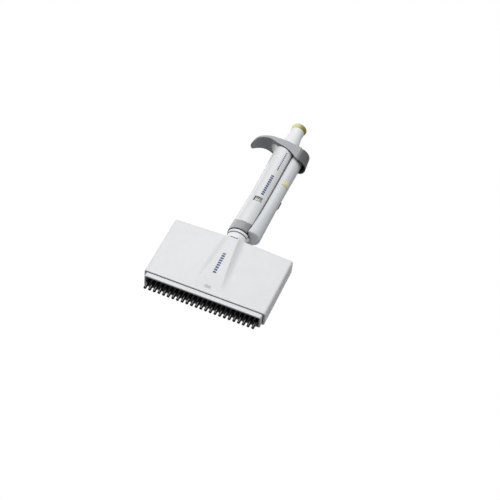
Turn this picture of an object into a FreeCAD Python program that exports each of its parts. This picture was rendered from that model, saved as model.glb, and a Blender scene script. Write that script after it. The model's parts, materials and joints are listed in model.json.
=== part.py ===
import FreeCAD, Part
import math
import os
import re

import Sketcher
from FreeCAD import Rotation, Vector

# A 24-channel mechanical pipette. X runs along the row of tip cones, Y through the
# thickness of the head (the front faces -Y) and Z up to the control button. The origin
# is on the long axis, level with the open ends of the tip cones. Lengths are in mm and
# every name that ends in _level is a height above the cone ends.

DIMENSIONS = {
    # shared allowances: drills run past their blank, fused shapes run into each other
    "overshoot": 1.0,
    "overlap": 0.5,
    "running_gap": 0.05,
    # row of tip cones
    "channel_count": 24,
    "channel_pitch": 4.5,
    "cone_end_radius": 1.45,
    "cone_end_bevel": 0.25,
    "cone_seat_length": 4.4,
    "cone_root_radius": 1.58,
    "cone_root_level": 8.0,
    "cone_body_radius": 1.65,
    "cone_bore_radius": 0.5,
    "spigot_radius": 1.2,
    "spigot_length": 3.0,
    # ejector strip round the cones
    "strip_half_length": 55.9,
    "strip_half_depth": 7.0,
    "strip_wall": 1.5,
    "strip_bottom_level": 7.9,
    "strip_top_level": 12.5,
    "stripper_level": 8.3,
    "stripper_thickness": 1.6,
    "stripper_hole_radius": 1.85,
    # head housing
    "housing_half_width": 58.1,
    "housing_half_depth": 8.0,
    "housing_bottom_level": 12.9,
    "housing_shoulder_level": 80.4,
    "housing_peak_level": 82.6,
    "housing_wall": 1.6,
    "housing_rounding": 2.2,
    "neck_half_width": 9.0,
    "well_radius": 10.0,
    "well_bottom_level": 68.0,
    # raised wedge below the neck: half widths of its crest and its foot, and its depth
    "wedge_top_crest": 4.4,
    "wedge_top_foot": 10.2,
    "wedge_top_depth": 11.0,
    "wedge_middle_level": 60.0,
    "wedge_middle_crest": 6.6,
    "wedge_middle_foot": 12.4,
    "wedge_middle_depth": 10.7,
    "wedge_bottom_level": 17.0,
    "wedge_bottom_crest": 12.6,
    "wedge_bottom_foot": 17.0,
    "wedge_bottom_depth": 8.02,
    # slot above the wedge
    "slot_half_width": 3.7,
    "slot_depth": 9.0,
    "slot_level": 79.6,
    "slot_height": 0.9,
    # screws of the covers
    "boss_radius": 2.2,
    "screw_seat_radius": 1.7,
    "screw_seat_depth": 6.8,
    "long_screw_offset": 50.0,
    "long_screw_level": 66.2,
    "long_screw_radius": 1.0,
    "long_screw_length": 11.5,
    "long_screw_head_radius": 1.6,
    "long_screw_head_length": 1.1,
    "long_screw_socket_radius": 0.7,
    "short_screw_offset": 33.75,
    "short_screw_level": 16.25,
    "short_screw_radius": 0.9,
    "short_screw_length": 3.7,
    "short_screw_head_radius": 1.6,
    "short_screw_head_length": 1.1,
    "short_screw_socket_radius": 0.7,
    # cylinder block and pistons
    "cover_clearance": 0.1,
    "nozzle_plate_level": 14.5,
    "block_level": 18.0,
    "block_half_length": 53.7,
    "block_half_depth": 6.0,
    "seal_plate_level": 40.0,
    "seal_plate_top_level": 43.0,
    "seal_inner_radius": 0.82,
    "seal_lip_radius": 1.1,
    "seal_outer_radius": 1.58,
    "seal_seat_radius": 1.6,
    "seal_seat_depth": 1.5,
    "seal_lip_low": 0.5,
    "seal_lip_high": 1.0,
    "piston_radius": 0.8,
    "piston_bevel": 0.2,
    "piston_bottom_level": 36.0,
    "piston_head_radius": 1.3,
    "piston_head_length": 0.9,
    "crosshead_level": 57.5,
    "crosshead_thickness": 3.0,
    "crosshead_half_length": 52.9,
    "clamp_thickness": 2.0,
    "clamp_half_depth": 2.2,
    "clamp_pocket_radius": 1.35,
    "bush_radius": 1.7,
    "guide_offset_x": 36.0,
    "guide_offset_y": 3.4,
    "guide_radius": 1.2,
    "guide_bottom_level": 28.0,
    "post_play": 0.15,
    "spring_pocket_radius": 2.15,
    "spring_pocket_level": 37.0,
    "carriage_spring_radius": 1.75,
    "carriage_spring_wire": 0.28,
    "carriage_spring_turns": 9,
    "bridge_level": 64.0,
    "bridge_thickness": 3.0,
    "bridge_half_length": 42.0,
    "bridge_half_depth": 5.9,
    "coupling_radius": 2.6,
    "coupling_play": 0.1,
    "coupling_foot_radius": 5.0,
    "coupling_foot_thickness": 1.2,
    "coupling_top_level": 99.5,
    # neck and its screws
    "neck_flange_half_length": 15.0,
    "neck_flange_thickness": 2.0,
    "neck_tube_radius": 8.6,
    "neck_journal_radius": 7.6,
    "neck_bore_radius": 6.2,
    "neck_floor_radius": 3.0,
    "neck_shoulder_level": 91.6,
    "neck_top_level": 104.4,
    "clip_groove_depth": 0.6,
    "clip_groove_level": 102.4,
    "clip_groove_height": 1.4,
    "clip_play": 0.1,
    "clip_radius": 8.6,
    "neck_screw_offset_x": 12.0,
    "neck_screw_offset_y": 4.0,
    "neck_screw_radius": 0.8,
    "neck_screw_length": 4.5,
    "neck_screw_head_radius": 1.4,
    "neck_screw_head_length": 1.0,
    "neck_screw_socket_radius": 0.6,
    # ejector beam, its rods and the ring at the foot of the rail
    "sleeve_radius": 9.85,
    "sleeve_bore_radius": 8.75,
    "sleeve_top_level": 88.0,
    "beam_level": 75.4,
    "beam_thickness": 3.0,
    "beam_half_depth": 2.0,
    "rod_offset": 54.85,
    "rod_radius": 0.9,
    "ring_collar_radius": 9.55,
    "ring_radius": 10.6,
    "ring_bottom_level": 88.02,
    "ring_level": 88.5,
    "ring_top_level": 91.2,
    "ring_flat_offset": 9.0,
    "ring_leg_start": 9.0,
    "ring_leg_end": 10.2,
    "ring_leg_half_width": 1.5,
    # lower collar
    "collar_bottom_level": 92.0,
    "collar_top_level": 102.0,
    "collar_arch_level": 101.6,
    "collar_arch_rise": 4.6,
    "collar_radius": 11.5,
    "collar_rounding": 0.6,
    "notch_offset": 7.3,
    "notch_radius": 8.75,
    # grip
    "grip_bottom_radius": 11.25,
    "grip_lower_radius": 10.85,
    "grip_lower_level": 117.0,
    "grip_waist_radius": 10.15,
    "grip_waist_level": 146.0,
    "grip_chest_radius": 10.75,
    "grip_chest_level": 192.0,
    "grip_top_radius": 10.9,
    "grip_top_level": 212.0,
    "grip_bore_radius": 9.0,
    "plug_radius": 2.6,
    "plug_level": 160.0,
    "plug_face_depth": 10.3,
    # ejector rail on the right side of the grip
    "rail_bottom_level": 94.0,
    "rail_top_level": 206.0,
    "rail_top_offset": 12.9,
    "rail_top_radius": 6.6,
    "rail_bottom_offset": 10.3,
    "rail_bottom_radius": 9.4,
    "rail_rounding": 1.8,
    "rail_wall": 1.4,
    "rail_floor": 2.0,
    "rail_gap": 0.5,
    "spring_web_level": 176.0,
    "spring_web_thickness": 2.0,
    "bracket_level": 148.0,
    "bracket_thickness": 3.0,
    "bracket_half_width": 3.0,
    "bracket_reach": 17.0,
    "ejector_spring_offset": 13.9,
    "ejector_spring_radius": 2.2,
    "ejector_spring_wire": 0.35,
    "ejector_spring_turns": 12,
    "catch_half_width": 1.6,
    "catch_start": 5.0,
    "catch_end": 7.5,
    "catch_level": 141.5,
    "catch_height": 9.0,
    "catch_rounding": 0.5,
    "catch_turn": -50.0,
    "mark_radius": 6.9,
    "mark_level": 163.0,
    "mark_height": 6.4,
    "mark_start_turn": -92.0,
    "mark_sweep": 66.0,
    # finger collar, hook and thumb key
    "hook_tip_offset": 26.5,
    "hook_tip_radius": 8.0,
    "underside_slope": 0.05,
    "finger_body_radius": 12.2,
    "finger_rail_radius": 10.4,
    "finger_rim_wall": 0.6,
    "finger_recess_depth": 2.0,
    "rail_pocket_start": 6.5,
    "rail_pocket_wall": 1.6,
    "rail_pocket_level": 208.0,
    "button_play": 0.3,
    "key_seam": 14.2,
    "key_seam_gap": 0.15,
    "key_wall": 1.0,
    "key_roof": 1.8,
    "key_top_level": 211.9,
    "key_foot_offset": 15.4,
    "key_foot_radius": 10.2,
    "key_stem_end": 18.6,
    "key_stem_half_width": 3.0,
    # display
    "window_offset": 1.0,
    "window_half_width": 3.9,
    "window_half_height": 2.9,
    "window_level": 133.8,
    "window_cut_depth": 5.0,
    "bezel_margin": 0.6,
    "bezel_stand": 0.2,
    "pane_recess": 0.35,
    "pane_thickness": 0.75,
    "wheel_count": 3,
    "wheel_radius": 7.4,
    "wheel_bore_radius": 5.0,
    "wheel_height": 1.8,
    "wheel_pitch": 1.85,
    "wheel_base_level": 131.05,
    "arbor_bore_radius": 3.4,
    "arbor_flange_thickness": 2.0,
    "retainer_thickness": 1.4,
    # chassis and plunger
    "chassis_radius": 8.9,
    "chassis_bore_radius": 7.7,
    "chassis_floor": 2.0,
    "chassis_level": 105.0,
    "chassis_top_level": 190.0,
    "chassis_window_margin": 0.4,
    "chassis_window_depth": 4.0,
    "bush_length": 4.0,
    "plunger_radius": 2.0,
    "plunger_play": 0.1,
    "plunger_top_level": 238.0,
    "plunger_flange_radius": 3.0,
    "plunger_flange_level": 138.0,
    "plunger_flange_height": 4.0,
    "washer_level": 122.4,
    "washer_thickness": 1.5,
    "washer_play": 0.2,
    "blowout_spring_radius": 5.2,
    "blowout_spring_wire": 0.6,
    "blowout_spring_turns": 5,
    "return_spring_radius": 5.2,
    "return_spring_wire": 0.5,
    "return_spring_turns": 9,
    "seat_disc_radius": 6.8,
    "seat_disc_level": 178.0,
    "seat_disc_thickness": 1.4,
    # control button and cap
    "button_skirt_radius": 8.8,
    "button_skirt_wall": 1.3,
    "button_bottom_level": 205.5,
    "button_shoulder_level": 214.5,
    "button_stem_radius": 6.5,
    "button_top_level": 239.8,
    "button_hub_radius": 4.0,
    "button_hub_level": 229.0,
    "button_hollow_level": 223.0,
    "cap_radius": 7.8,
    "cap_bevel": 0.7,
    "cap_dish": 1.2,
    "cap_top_level": 245.3,
}

# Levels that several pieces share
CROSSHEAD_TOP = "crosshead_level + crosshead_thickness"
CLAMP_TOP = f"{CROSSHEAD_TOP} + clamp_thickness"
BRIDGE_TOP = "bridge_level + bridge_thickness"
FLANGE_TOP = f"{BRIDGE_TOP} + neck_flange_thickness"
WHEELS_TOP = "wheel_base_level + wheel_count * wheel_pitch"

# Side of the grip, as radius against level
GRIP_SIDE = [
    ("grip_bottom_radius", "collar_top_level"),
    ("grip_lower_radius", "grip_lower_level"),
    ("grip_waist_radius", "grip_waist_level"),
    ("grip_chest_radius", "grip_chest_level"),
    ("grip_top_radius", "grip_top_level"),
]

# Circles that the rail runs through, as level, offset from the long axis and radius
RAIL_CIRCLES = [
    ("rail_bottom_level", "rail_bottom_offset", "rail_bottom_radius"),
    ("rail_bottom_level + 14", "rail_top_offset - 1.4", "rail_top_radius + 1.5"),
    ("rail_bottom_level + 34", "rail_top_offset - 0.5", "rail_top_radius + 0.4"),
    ("rail_bottom_level + 66", "rail_top_offset - 0.1", "rail_top_radius + 0.1"),
    ("rail_top_level + 6", "rail_top_offset", "rail_top_radius"),
]

# Circles of the grip's flare under the hook, as level, offset and radius
FLARE_CIRCLES = [
    ("grip_top_level - 11", "-3.0", "7.7"),
    ("grip_top_level - 6", "-4.2", "7.8"),
    ("grip_top_level - 3", "-6.0", "8.0"),
    ("grip_top_level + 1", "-8.8", "8.3"),
]

# Outside of the control button, from its foot up, as radius against level
BUTTON_SIDE = [
    ("button_skirt_radius", "button_bottom_level"),
    ("button_skirt_radius", "button_shoulder_level"),
    ("button_skirt_radius - 0.2", "button_shoulder_level + 3"),
    ("button_stem_radius + 1.7", "button_shoulder_level + 7.5"),
    ("button_stem_radius + 0.7", "button_shoulder_level + 13"),
    ("button_stem_radius + 0.1", "button_shoulder_level + 19"),
    ("button_stem_radius + 0.3", "button_top_level"),
]

# Top of the finger collar from the hook's tip to the key, as (x, level)
COLLAR_TOP_CURVE = [
    (-34.5, 203.6),
    (-33.0, 207.2),
    (-29.8, 211.4),
    (-26.0, 213.7),
    (-18.2, 215.7),
    (-8.7, 214.8),
    (1.0, 213.5),
    (14.5, 213.2),
]

# Lower edge of the finger collar over the same run, and on round the key
COLLAR_LOW_CURVE = [
    (-36.0, 202.7),
    (-33.2, 203.3),
    (-31.2, 206.4),
    (-28.3, 209.6),
    (-24.3, 211.6),
    (-20.4, 212.1),
    (-16.4, 211.4),
    (-11.0, 209.1),
    (-2.9, 205.8),
    (2.9, 203.9),
    (8.7, 201.0),
    (14.5, 197.4),
    (19.0, 196.2),
    (28.0, 196.0),
]

# Stations of the arched joint line, as shares of the collar's radius
ARCH_STATIONS = (-1.3, -0.6, 0.0, 0.6, 1.3)

# Further than any piece reaches, for the tools that cut halves and sides
BEYOND = 300.0

SIDES = (("left", -1), ("right", 1))
WORD = re.compile(r"\b([a-z][a-z_0-9]*)\b(?!\()")

doc = FreeCAD.newDocument("multichannel_pipette")
sheet = doc.addObject("Spreadsheet::Sheet", "dims")
for row, (alias, value) in enumerate(DIMENSIONS.items(), start=1):
    sheet.set(f"A{row}", alias)
    sheet.set(f"B{row}", str(value))
    sheet.setAlias(f"B{row}", alias)
doc.recompute()

pieces = []


def bound(text):
    """An expression with every dimension's name read from the sheet."""
    return WORD.sub(r"dims.\1", str(text))


def size(text):
    """The present value of such an expression, in mm."""
    return float(sheet.evalExpression(bound(text)))


def above(text):
    """A drill's end just past a level."""
    return f"{text} + overshoot"


def below(text):
    """A drill's start just short of a level."""
    return f"{text} - overshoot"


def keep(piece):
    """Count an object as one of the pipette's pieces, to be checked and written."""
    pieces.append(piece)
    return piece


def place(thing, x="0", y="0", z="0"):
    """Bind an object's position to the sheet."""
    for axis, text in (("x", x), ("y", y), ("z", z)):
        thing.setExpression(f"Placement.Base.{axis}", bound(text))
    return thing


# ------------------------------------------------------- document primitives


def cylinder(name, radius, low, high, x="0", y="0"):
    """An upright cylinder between two levels."""
    solid = doc.addObject("Part::Cylinder", name)
    solid.setExpression("Radius", bound(radius))
    solid.setExpression("Height", bound(f"({high}) - ({low})"))
    return place(solid, x, y, low)


def lying_cylinder(name, radius, x, level, start, end):
    """A cylinder along Y between two depths."""
    solid = doc.addObject("Part::Cylinder", name)
    solid.Placement.Rotation = Rotation(Vector(0, 0, 1), Vector(0, 1, 0))
    solid.setExpression("Radius", bound(radius))
    solid.setExpression("Height", bound(f"({end}) - ({start})"))
    return place(solid, x, start, level)


def box(name, x, y, z):
    """A box between the low and high ends given on each axis."""
    solid = doc.addObject("Part::Box", name)
    for side, (low, high) in (("Length", x), ("Width", y), ("Height", z)):
        solid.setExpression(side, bound(f"({high}) - ({low})"))
    return place(solid, x[0], y[0], z[0])


def slab(name, half_x, half_y, low, high):
    """A box centred on the long axis."""
    return box(name, (f"-({half_x})", half_x), (f"-({half_y})", half_y), (low, high))


def cut(name, base, tool):
    """base with tool taken away."""
    result = doc.addObject("Part::Cut", name)
    result.Base = base
    result.Tool = tool
    return result


def fuse(name, *shapes):
    """Several overlapping shapes as one solid."""
    result = doc.addObject("Part::MultiFuse", name)
    result.Shapes = list(shapes)
    result.Refine = True
    return result


def drilled(name, base, *tools):
    """base with a set of drills taken away."""
    return cut(name, base, fuse(f"{name}_drills", *tools))


def group(name, members):
    """Separate solids that share one node."""
    result = doc.addObject("Part::Compound", name)
    result.Links = members
    return result


def feature(name, shape):
    """A piece whose shape is worked out with Part's own functions."""
    result = doc.addObject("Part::Feature", name)
    result.Shape = shape
    return result


# ------------------------------------------------------------- sketched bodies


def origin_item(body, role):
    """One of a body's own origin planes or axes."""
    return next(item for item in body.Origin.OriginFeatures if item.Role == role)


def outline(body, role, points):
    """A closed straight-sided sketch with every corner bound to the sheet."""
    sketch = body.newObject("Sketcher::SketchObject", f"{body.Name}_outline")
    sketch.AttachmentSupport = [(origin_item(body, role), "")]
    sketch.MapMode = "FlatFace"
    corners = [Vector(size(across), size(up), 0) for across, up in points]
    for index, corner in enumerate(corners):
        following = corners[(index + 1) % len(corners)]
        sketch.addGeometry(Part.LineSegment(corner, following), False)
    for index, (corner, texts) in enumerate(zip(corners, points)):
        following = (index + 1) % len(corners)
        sketch.addConstraint(Sketcher.Constraint("Coincident", index, 2, following, 1))
        for kind, text, value in (
            ("DistanceX", texts[0], corner.x),
            ("DistanceY", texts[1], corner.y),
        ):
            number = sketch.addConstraint(
                Sketcher.Constraint(kind, -1, 1, index, 1, value)
            )
            sketch.setExpression(f"Constraints[{number}]", bound(text))
    return sketch


def turned(name, points):
    """A body revolved about the long axis from (radius, level) corners."""
    body = doc.addObject("PartDesign::Body", name)
    sketch = outline(body, "XZ_Plane", points)
    turn = body.newObject("PartDesign::Revolution", f"{name}_turn")
    turn.Profile = sketch
    turn.ReferenceAxis = (sketch, ["V_Axis"])
    turn.Angle = 360
    return body


def ring(name, inner, outer, low, high):
    """A plain turned ring."""
    return turned(name, [(inner, low), (outer, low), (outer, high), (inner, high)])


def turned_row(name, points):
    """One such body for every channel, side by side along the row."""
    body = turned(name, points)
    row = body.newObject("PartDesign::LinearPattern", f"{name}_row")
    row.Originals = [body.Tip]
    row.Direction = (origin_item(body, "X_Axis"), [""])
    row.setExpression("Length", bound("(channel_count - 1) * channel_pitch"))
    row.setExpression("Occurrences", bound("channel_count"))
    body.Tip = row
    return place(body, x="-(channel_count - 1) * channel_pitch / 2")


def row_of_drills(name, radius, low, high):
    """Cylinders on every channel, used as drills."""
    points = [("0", low), (radius, low), (radius, high), ("0", high)]
    return turned_row(name, points)


def at_guides(name, radius, low, high, side=1):
    """A pair of cylinders at the guide rods (side 1) or the spacer posts (side -1)."""
    return group(
        name,
        [
            cylinder(
                f"{name}_{tag}", radius, low, high, f"{sign} * guide_offset_x", f"{side} * guide_offset_y"
            )
            for tag, sign in SIDES
        ],
    )


def at_rods(name, radius, low, high):
    """A pair of upright cylinders at the ejector's two rods."""
    return group(
        name,
        [cylinder(f"{name}_{tag}", radius, low, high, f"{sign} * rod_offset") for tag, sign in SIDES],
    )


# ------------------------------------------------------------ shapes in plain Part


def upright(radius, low, high, x=0.0, y=0.0):
    """A cylinder shape between two levels."""
    return Part.makeCylinder(radius, high - low, Vector(x, y, low))


def along_y(radius, x, level, start, end):
    """A cylinder shape along Y."""
    return Part.makeCylinder(radius, end - start, Vector(x, start, level), Vector(0, 1, 0))


def brick(x, y, z):
    """A box shape between the low and high ends on each axis."""
    return Part.makeBox(x[1] - x[0], y[1] - y[0], z[1] - z[0], Vector(x[0], y[0], z[0]))


def front_half():
    """Everything in front of the long axis."""
    return brick((-BEYOND, BEYOND), (-BEYOND, 0), (-BEYOND, BEYOND))


def rear_half():
    """Everything behind the long axis."""
    return brick((-BEYOND, BEYOND), (0, BEYOND), (-BEYOND, BEYOND))


def right_of(x):
    """Everything to the right of a plane across the row."""
    return brick((x, BEYOND), (-BEYOND, BEYOND), (-BEYOND, BEYOND))


def curve_edge(points):
    """A smooth curve through (x, level) points, well in front of the pipette."""
    curve = Part.BSplineCurve()
    curve.interpolate([Vector(x, -BEYOND, level) for x, level in points])
    return curve.toShape()


def under_curve(points, slope=0.0):
    """Everything between a curve and level 0, with a top that may rise toward the back."""
    edge = curve_edge(points)
    start = edge.Vertexes[0].Point
    end = edge.Vertexes[-1].Point
    corners = [end, Vector(end.x, end.y, 0), Vector(start.x, start.y, 0), start]
    face = Part.Face(Part.Wire([edge] + Part.makePolygon(corners).Edges))
    return face.extrude(Vector(0, 2 * BEYOND, 2 * BEYOND * slope))


def lofted(circles, inset=0.0):
    """A smooth solid through level circles that stand off the long axis."""
    wires = [
        Part.Wire(
            Part.makeCircle(size(radius) - inset, Vector(size(offset), 0, size(level)), Vector(0, 0, 1))
        )
        for level, offset, radius in circles
    ]
    return Part.makeLoft(wires, True, False)


def coil(name, kind, low, high, x=0.0, y=0.0):
    """A compression spring of round wire that fills the gap between two levels."""
    mean_radius = size(f"{kind}_radius")
    wire_radius = size(f"{kind}_wire")
    start = low + size("running_gap") + wire_radius
    height = high - size("running_gap") - wire_radius - start
    helix = Part.makeHelix(height / size(f"{kind}_turns"), height, mean_radius)
    section = Part.Wire(
        Part.makeCircle(wire_radius, Vector(mean_radius, 0, 0), Vector(0, 1, 0))
    )
    spring = Part.Wire(helix).makePipeShell([section], True, True)
    spring.translate(Vector(x, y, start))
    return feature(name, spring)


def screw_shape(kind):
    """A cap screw pointing down, its head's underside at the origin."""
    head_length = size(f"{kind}_head_length")
    length = size(f"{kind}_length")
    head = Part.makeCylinder(size(f"{kind}_head_radius"), head_length)
    shank = Part.makeCylinder(size(f"{kind}_radius"), length, Vector(0, 0, -length))
    reach = size(f"{kind}_socket_radius")
    corners = [
        Vector(reach * math.cos(turn), reach * math.sin(turn), head_length / 2)
        for turn in (math.radians(60 * side) for side in range(7))
    ]
    socket = Part.Face(Part.makePolygon(corners)).extrude(Vector(0, 0, head_length))
    return head.fuse(shank).removeSplitter().cut(socket)


def screws(name, kind, places, direction=Vector(0, 0, -1)):
    """Copies of a screw at several places, pointing one way."""
    screw = screw_shape(kind)
    turn = Rotation(Vector(0, 0, -1), direction)
    copies = []
    for spot in places:
        copy = screw.copy()
        copy.Placement = FreeCAD.Placement(Vector(*spot), turn)
        copies.append(copy)
    return feature(name, Part.makeCompound(copies))


# ------------------------------------------------------------------- the head


def tip_cones():
    """24 hollow nozzles that the disposable tips are pressed on."""
    keep(
        turned_row(
            "tip_cones",
            [
                ("cone_bore_radius", "0"),
                ("cone_end_radius - cone_end_bevel", "0"),
                ("cone_end_radius", "cone_end_bevel"),
                ("cone_end_radius", "cone_seat_length"),
                ("cone_root_radius", "cone_root_level"),
                ("cone_body_radius", "cone_root_level + cone_end_bevel"),
                ("cone_body_radius", "block_level"),
                ("spigot_radius", "block_level"),
                ("spigot_radius", "block_level + spigot_length"),
                ("cone_bore_radius", "block_level + spigot_length"),
            ],
        )
    )


def nozzle_plate():
    """Plate that holds the cones and closes the underside of the head."""
    low = below("nozzle_plate_level")
    high = above("block_level")
    plate = slab(
        "nozzle_blank",
        "housing_half_width - housing_wall - cover_clearance",
        "housing_half_depth - housing_wall - cover_clearance",
        "nozzle_plate_level",
        "block_level",
    )
    holes = row_of_drills("nozzle_holes", "cone_body_radius", low, high)
    guides = at_rods("nozzle_guides", "rod_radius + running_gap", low, high)
    screw_holes = [
        lying_cylinder(
            f"nozzle_screw_{tag}",
            "short_screw_radius",
            f"{sign} * short_screw_offset",
            "short_screw_level",
            "screw_seat_depth - short_screw_length - overlap",
            above("screw_seat_depth"),
        )
        for tag, sign in SIDES
    ]
    keep(drilled("nozzle_plate", plate, holes, guides, *screw_holes))


def cylinder_block():
    """Block with one bore per channel, holes for the guide rods and pockets for the springs."""
    block = slab(
        "block_blank", "block_half_length", "block_half_depth", "block_level", "seal_plate_level"
    )
    low = below("block_level")
    high = above("seal_plate_level")
    bores = row_of_drills("block_bores", "piston_radius + running_gap", low, high)
    sockets = row_of_drills("block_sockets", "spigot_radius", low, "block_level + spigot_length")
    guides = at_guides("block_guides", "guide_radius", "guide_bottom_level", high)
    pockets = at_guides("block_pockets", "spring_pocket_radius", "spring_pocket_level", high)
    keep(drilled("cylinder_block", block, bores, sockets, guides, pockets))


def seal_plate():
    """Plate that traps a seal round every piston."""
    low = below("seal_plate_level")
    high = above("seal_plate_top_level")
    plate = slab(
        "seal_blank", "block_half_length", "block_half_depth", "seal_plate_level", "seal_plate_top_level"
    )
    holes = row_of_drills("seal_holes", "piston_radius + 2 * running_gap", low, high)
    seats = row_of_drills("seal_seats", "seal_seat_radius", low, "seal_plate_level + seal_seat_depth")
    pockets = at_guides("seal_pockets", "spring_pocket_radius", low, high)
    keep(drilled("seal_plate", plate, holes, seats, pockets))


def piston_seals():
    """24 lip rings in the seal plate."""
    low = "seal_plate_level + running_gap"
    high = "seal_plate_level + seal_seat_depth - running_gap"
    keep(
        turned_row(
            "piston_seals",
            [
                ("seal_inner_radius", "seal_plate_level + seal_lip_low"),
                ("seal_lip_radius", low),
                ("seal_outer_radius", low),
                ("seal_outer_radius", high),
                ("seal_lip_radius", high),
                ("seal_inner_radius", "seal_plate_level + seal_lip_high"),
            ],
        )
    )


def pistons():
    """24 steel pins with a head that the crosshead holds."""
    head_top = f"{CROSSHEAD_TOP} + piston_head_length"
    keep(
        turned_row(
            "pistons",
            [
                ("0", "piston_bottom_level"),
                ("piston_radius - piston_bevel", "piston_bottom_level"),
                ("piston_radius", "piston_bottom_level + piston_bevel"),
                ("piston_radius", CROSSHEAD_TOP),
                ("piston_head_radius", CROSSHEAD_TOP),
                ("piston_head_radius", head_top),
                ("0", head_top),
            ],
        )
    )


def crosshead():
    """Bar that carries all the pistons, with a bush for each guide rod."""
    low = below("crosshead_level")
    high = above(CROSSHEAD_TOP)
    bar = slab(
        "crosshead_blank", "crosshead_half_length", "block_half_depth", "crosshead_level", CROSSHEAD_TOP
    )
    holes = row_of_drills("crosshead_holes", "piston_radius + running_gap", low, high)
    bushes = at_guides("crosshead_bush_holes", "bush_radius", low, high)
    posts = at_guides("crosshead_post_holes", "guide_radius + post_play", low, high, -1)
    keep(drilled("piston_crosshead", bar, holes, bushes, posts))
    outer = at_guides("bush_outer", "bush_radius", "crosshead_level", CROSSHEAD_TOP)
    inner = at_guides("bush_bore", "guide_radius + running_gap", low, high)
    keep(cut("crosshead_bushes", outer, inner))


def piston_clamp():
    """Plate over the piston heads."""
    plate = slab("clamp_blank", "crosshead_half_length", "clamp_half_depth", CROSSHEAD_TOP, CLAMP_TOP)
    pockets = row_of_drills(
        "clamp_pockets",
        "clamp_pocket_radius",
        below(CROSSHEAD_TOP),
        f"{CROSSHEAD_TOP} + piston_head_length + 2 * running_gap",
    )
    keep(drilled("piston_clamp", plate, pockets))


def guide_rods():
    """Two steel rods for the crosshead, and two posts that hold the bridge up."""
    keep(at_guides("guide_rods", "guide_radius", "guide_bottom_level", BRIDGE_TOP))
    keep(at_guides("spacer_posts", "guide_radius", "seal_plate_top_level", "bridge_level", -1))


def upper_bridge():
    """Bar across the top of the rods that the neck is screwed to."""
    low = below("bridge_level")
    high = above(BRIDGE_TOP)
    bar = slab("bridge_blank", "bridge_half_length", "bridge_half_depth", "bridge_level", BRIDGE_TOP)
    centre = cylinder("bridge_bore", "coupling_radius + coupling_play", low, high)
    guides = at_guides("bridge_guides", "guide_radius", low, high)
    keep(drilled("upper_bridge", bar, centre, guides, neck_screw_drill("bridge_screw_holes")))


def neck_screw_places():
    """Four corners of the neck's flange."""
    x = size("neck_screw_offset_x")
    y = size("neck_screw_offset_y")
    level = size(FLANGE_TOP)
    return [(right * x, back * y, level) for right in (-1, 1) for back in (-1, 1)]


def neck_screw_drill(name):
    """Holes for the neck screws."""
    low = below("bridge_level")
    high = above(FLANGE_TOP)
    corners = [(right, back) for right in (-1, 1) for back in (-1, 1)]
    return group(
        name,
        [
            cylinder(
                f"{name}_{index}",
                "neck_screw_radius",
                low,
                high,
                f"{right} * neck_screw_offset_x",
                f"{back} * neck_screw_offset_y",
            )
            for index, (right, back) in enumerate(corners)
        ],
    )


def head_neck():
    """Hollow neck that turns inside the grip's lower collar, held by a clip."""
    groove_top = "clip_groove_level + clip_groove_height"
    groove_radius = "neck_journal_radius - clip_groove_depth"
    flange = slab(
        "neck_flange", "neck_flange_half_length", "bridge_half_depth", BRIDGE_TOP, FLANGE_TOP
    )
    tube = turned(
        "neck_tube",
        [
            ("neck_bore_radius", FLANGE_TOP),
            ("neck_tube_radius", FLANGE_TOP),
            ("neck_tube_radius", "neck_shoulder_level"),
            ("neck_journal_radius", "neck_shoulder_level"),
            ("neck_journal_radius", "clip_groove_level"),
            (groove_radius, "clip_groove_level"),
            (groove_radius, groove_top),
            ("neck_journal_radius", groove_top),
            ("neck_journal_radius", "neck_top_level"),
            ("neck_bore_radius", "neck_top_level"),
        ],
    )
    floor = cylinder(
        "neck_floor", "neck_tube_radius", f"{FLANGE_TOP} - overlap", f"{FLANGE_TOP} + overlap"
    )
    bore = cylinder("neck_bore", "neck_floor_radius", below(BRIDGE_TOP), above(f"{FLANGE_TOP} + overlap"))
    whole = fuse("neck_blank", flange, tube, floor)
    keep(drilled("head_neck", whole, bore, neck_screw_drill("neck_screw_holes")))
    keep(
        ring(
            "swivel_clip",
            f"{groove_radius} + running_gap",
            "clip_radius",
            "clip_groove_level + clip_play",
            f"{groove_top} - clip_play",
        )
    )
    keep(screws("neck_screws", "neck_screw", neck_screw_places()))


def coupling_rod():
    """Rod from the crosshead up the neck to the plunger."""
    foot_top = f"{CLAMP_TOP} + coupling_foot_thickness"
    keep(
        turned(
            "coupling_rod",
            [
                ("0", CLAMP_TOP),
                ("coupling_foot_radius", CLAMP_TOP),
                ("coupling_foot_radius", foot_top),
                ("coupling_radius", foot_top),
                ("coupling_radius", "coupling_top_level - overlap"),
                ("coupling_radius - overlap", "coupling_top_level"),
                ("0", "coupling_top_level"),
            ],
        )
    )


def wedge_section(place_name, level):
    """Eight-sided section of the raised wedge that runs down from the neck."""
    side = size("housing_half_depth") - size("cover_clearance")
    crest = size(f"wedge_{place_name}_crest")
    foot = size(f"wedge_{place_name}_foot")
    depth = size(f"wedge_{place_name}_depth")
    front = [(-foot, -side), (-crest, -depth), (crest, -depth), (foot, -side)]
    back = [(-x, -y) for x, y in front]
    corners = [Vector(x, y, level) for x, y in front + back]
    return Part.makePolygon(corners + corners[:1])


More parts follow.
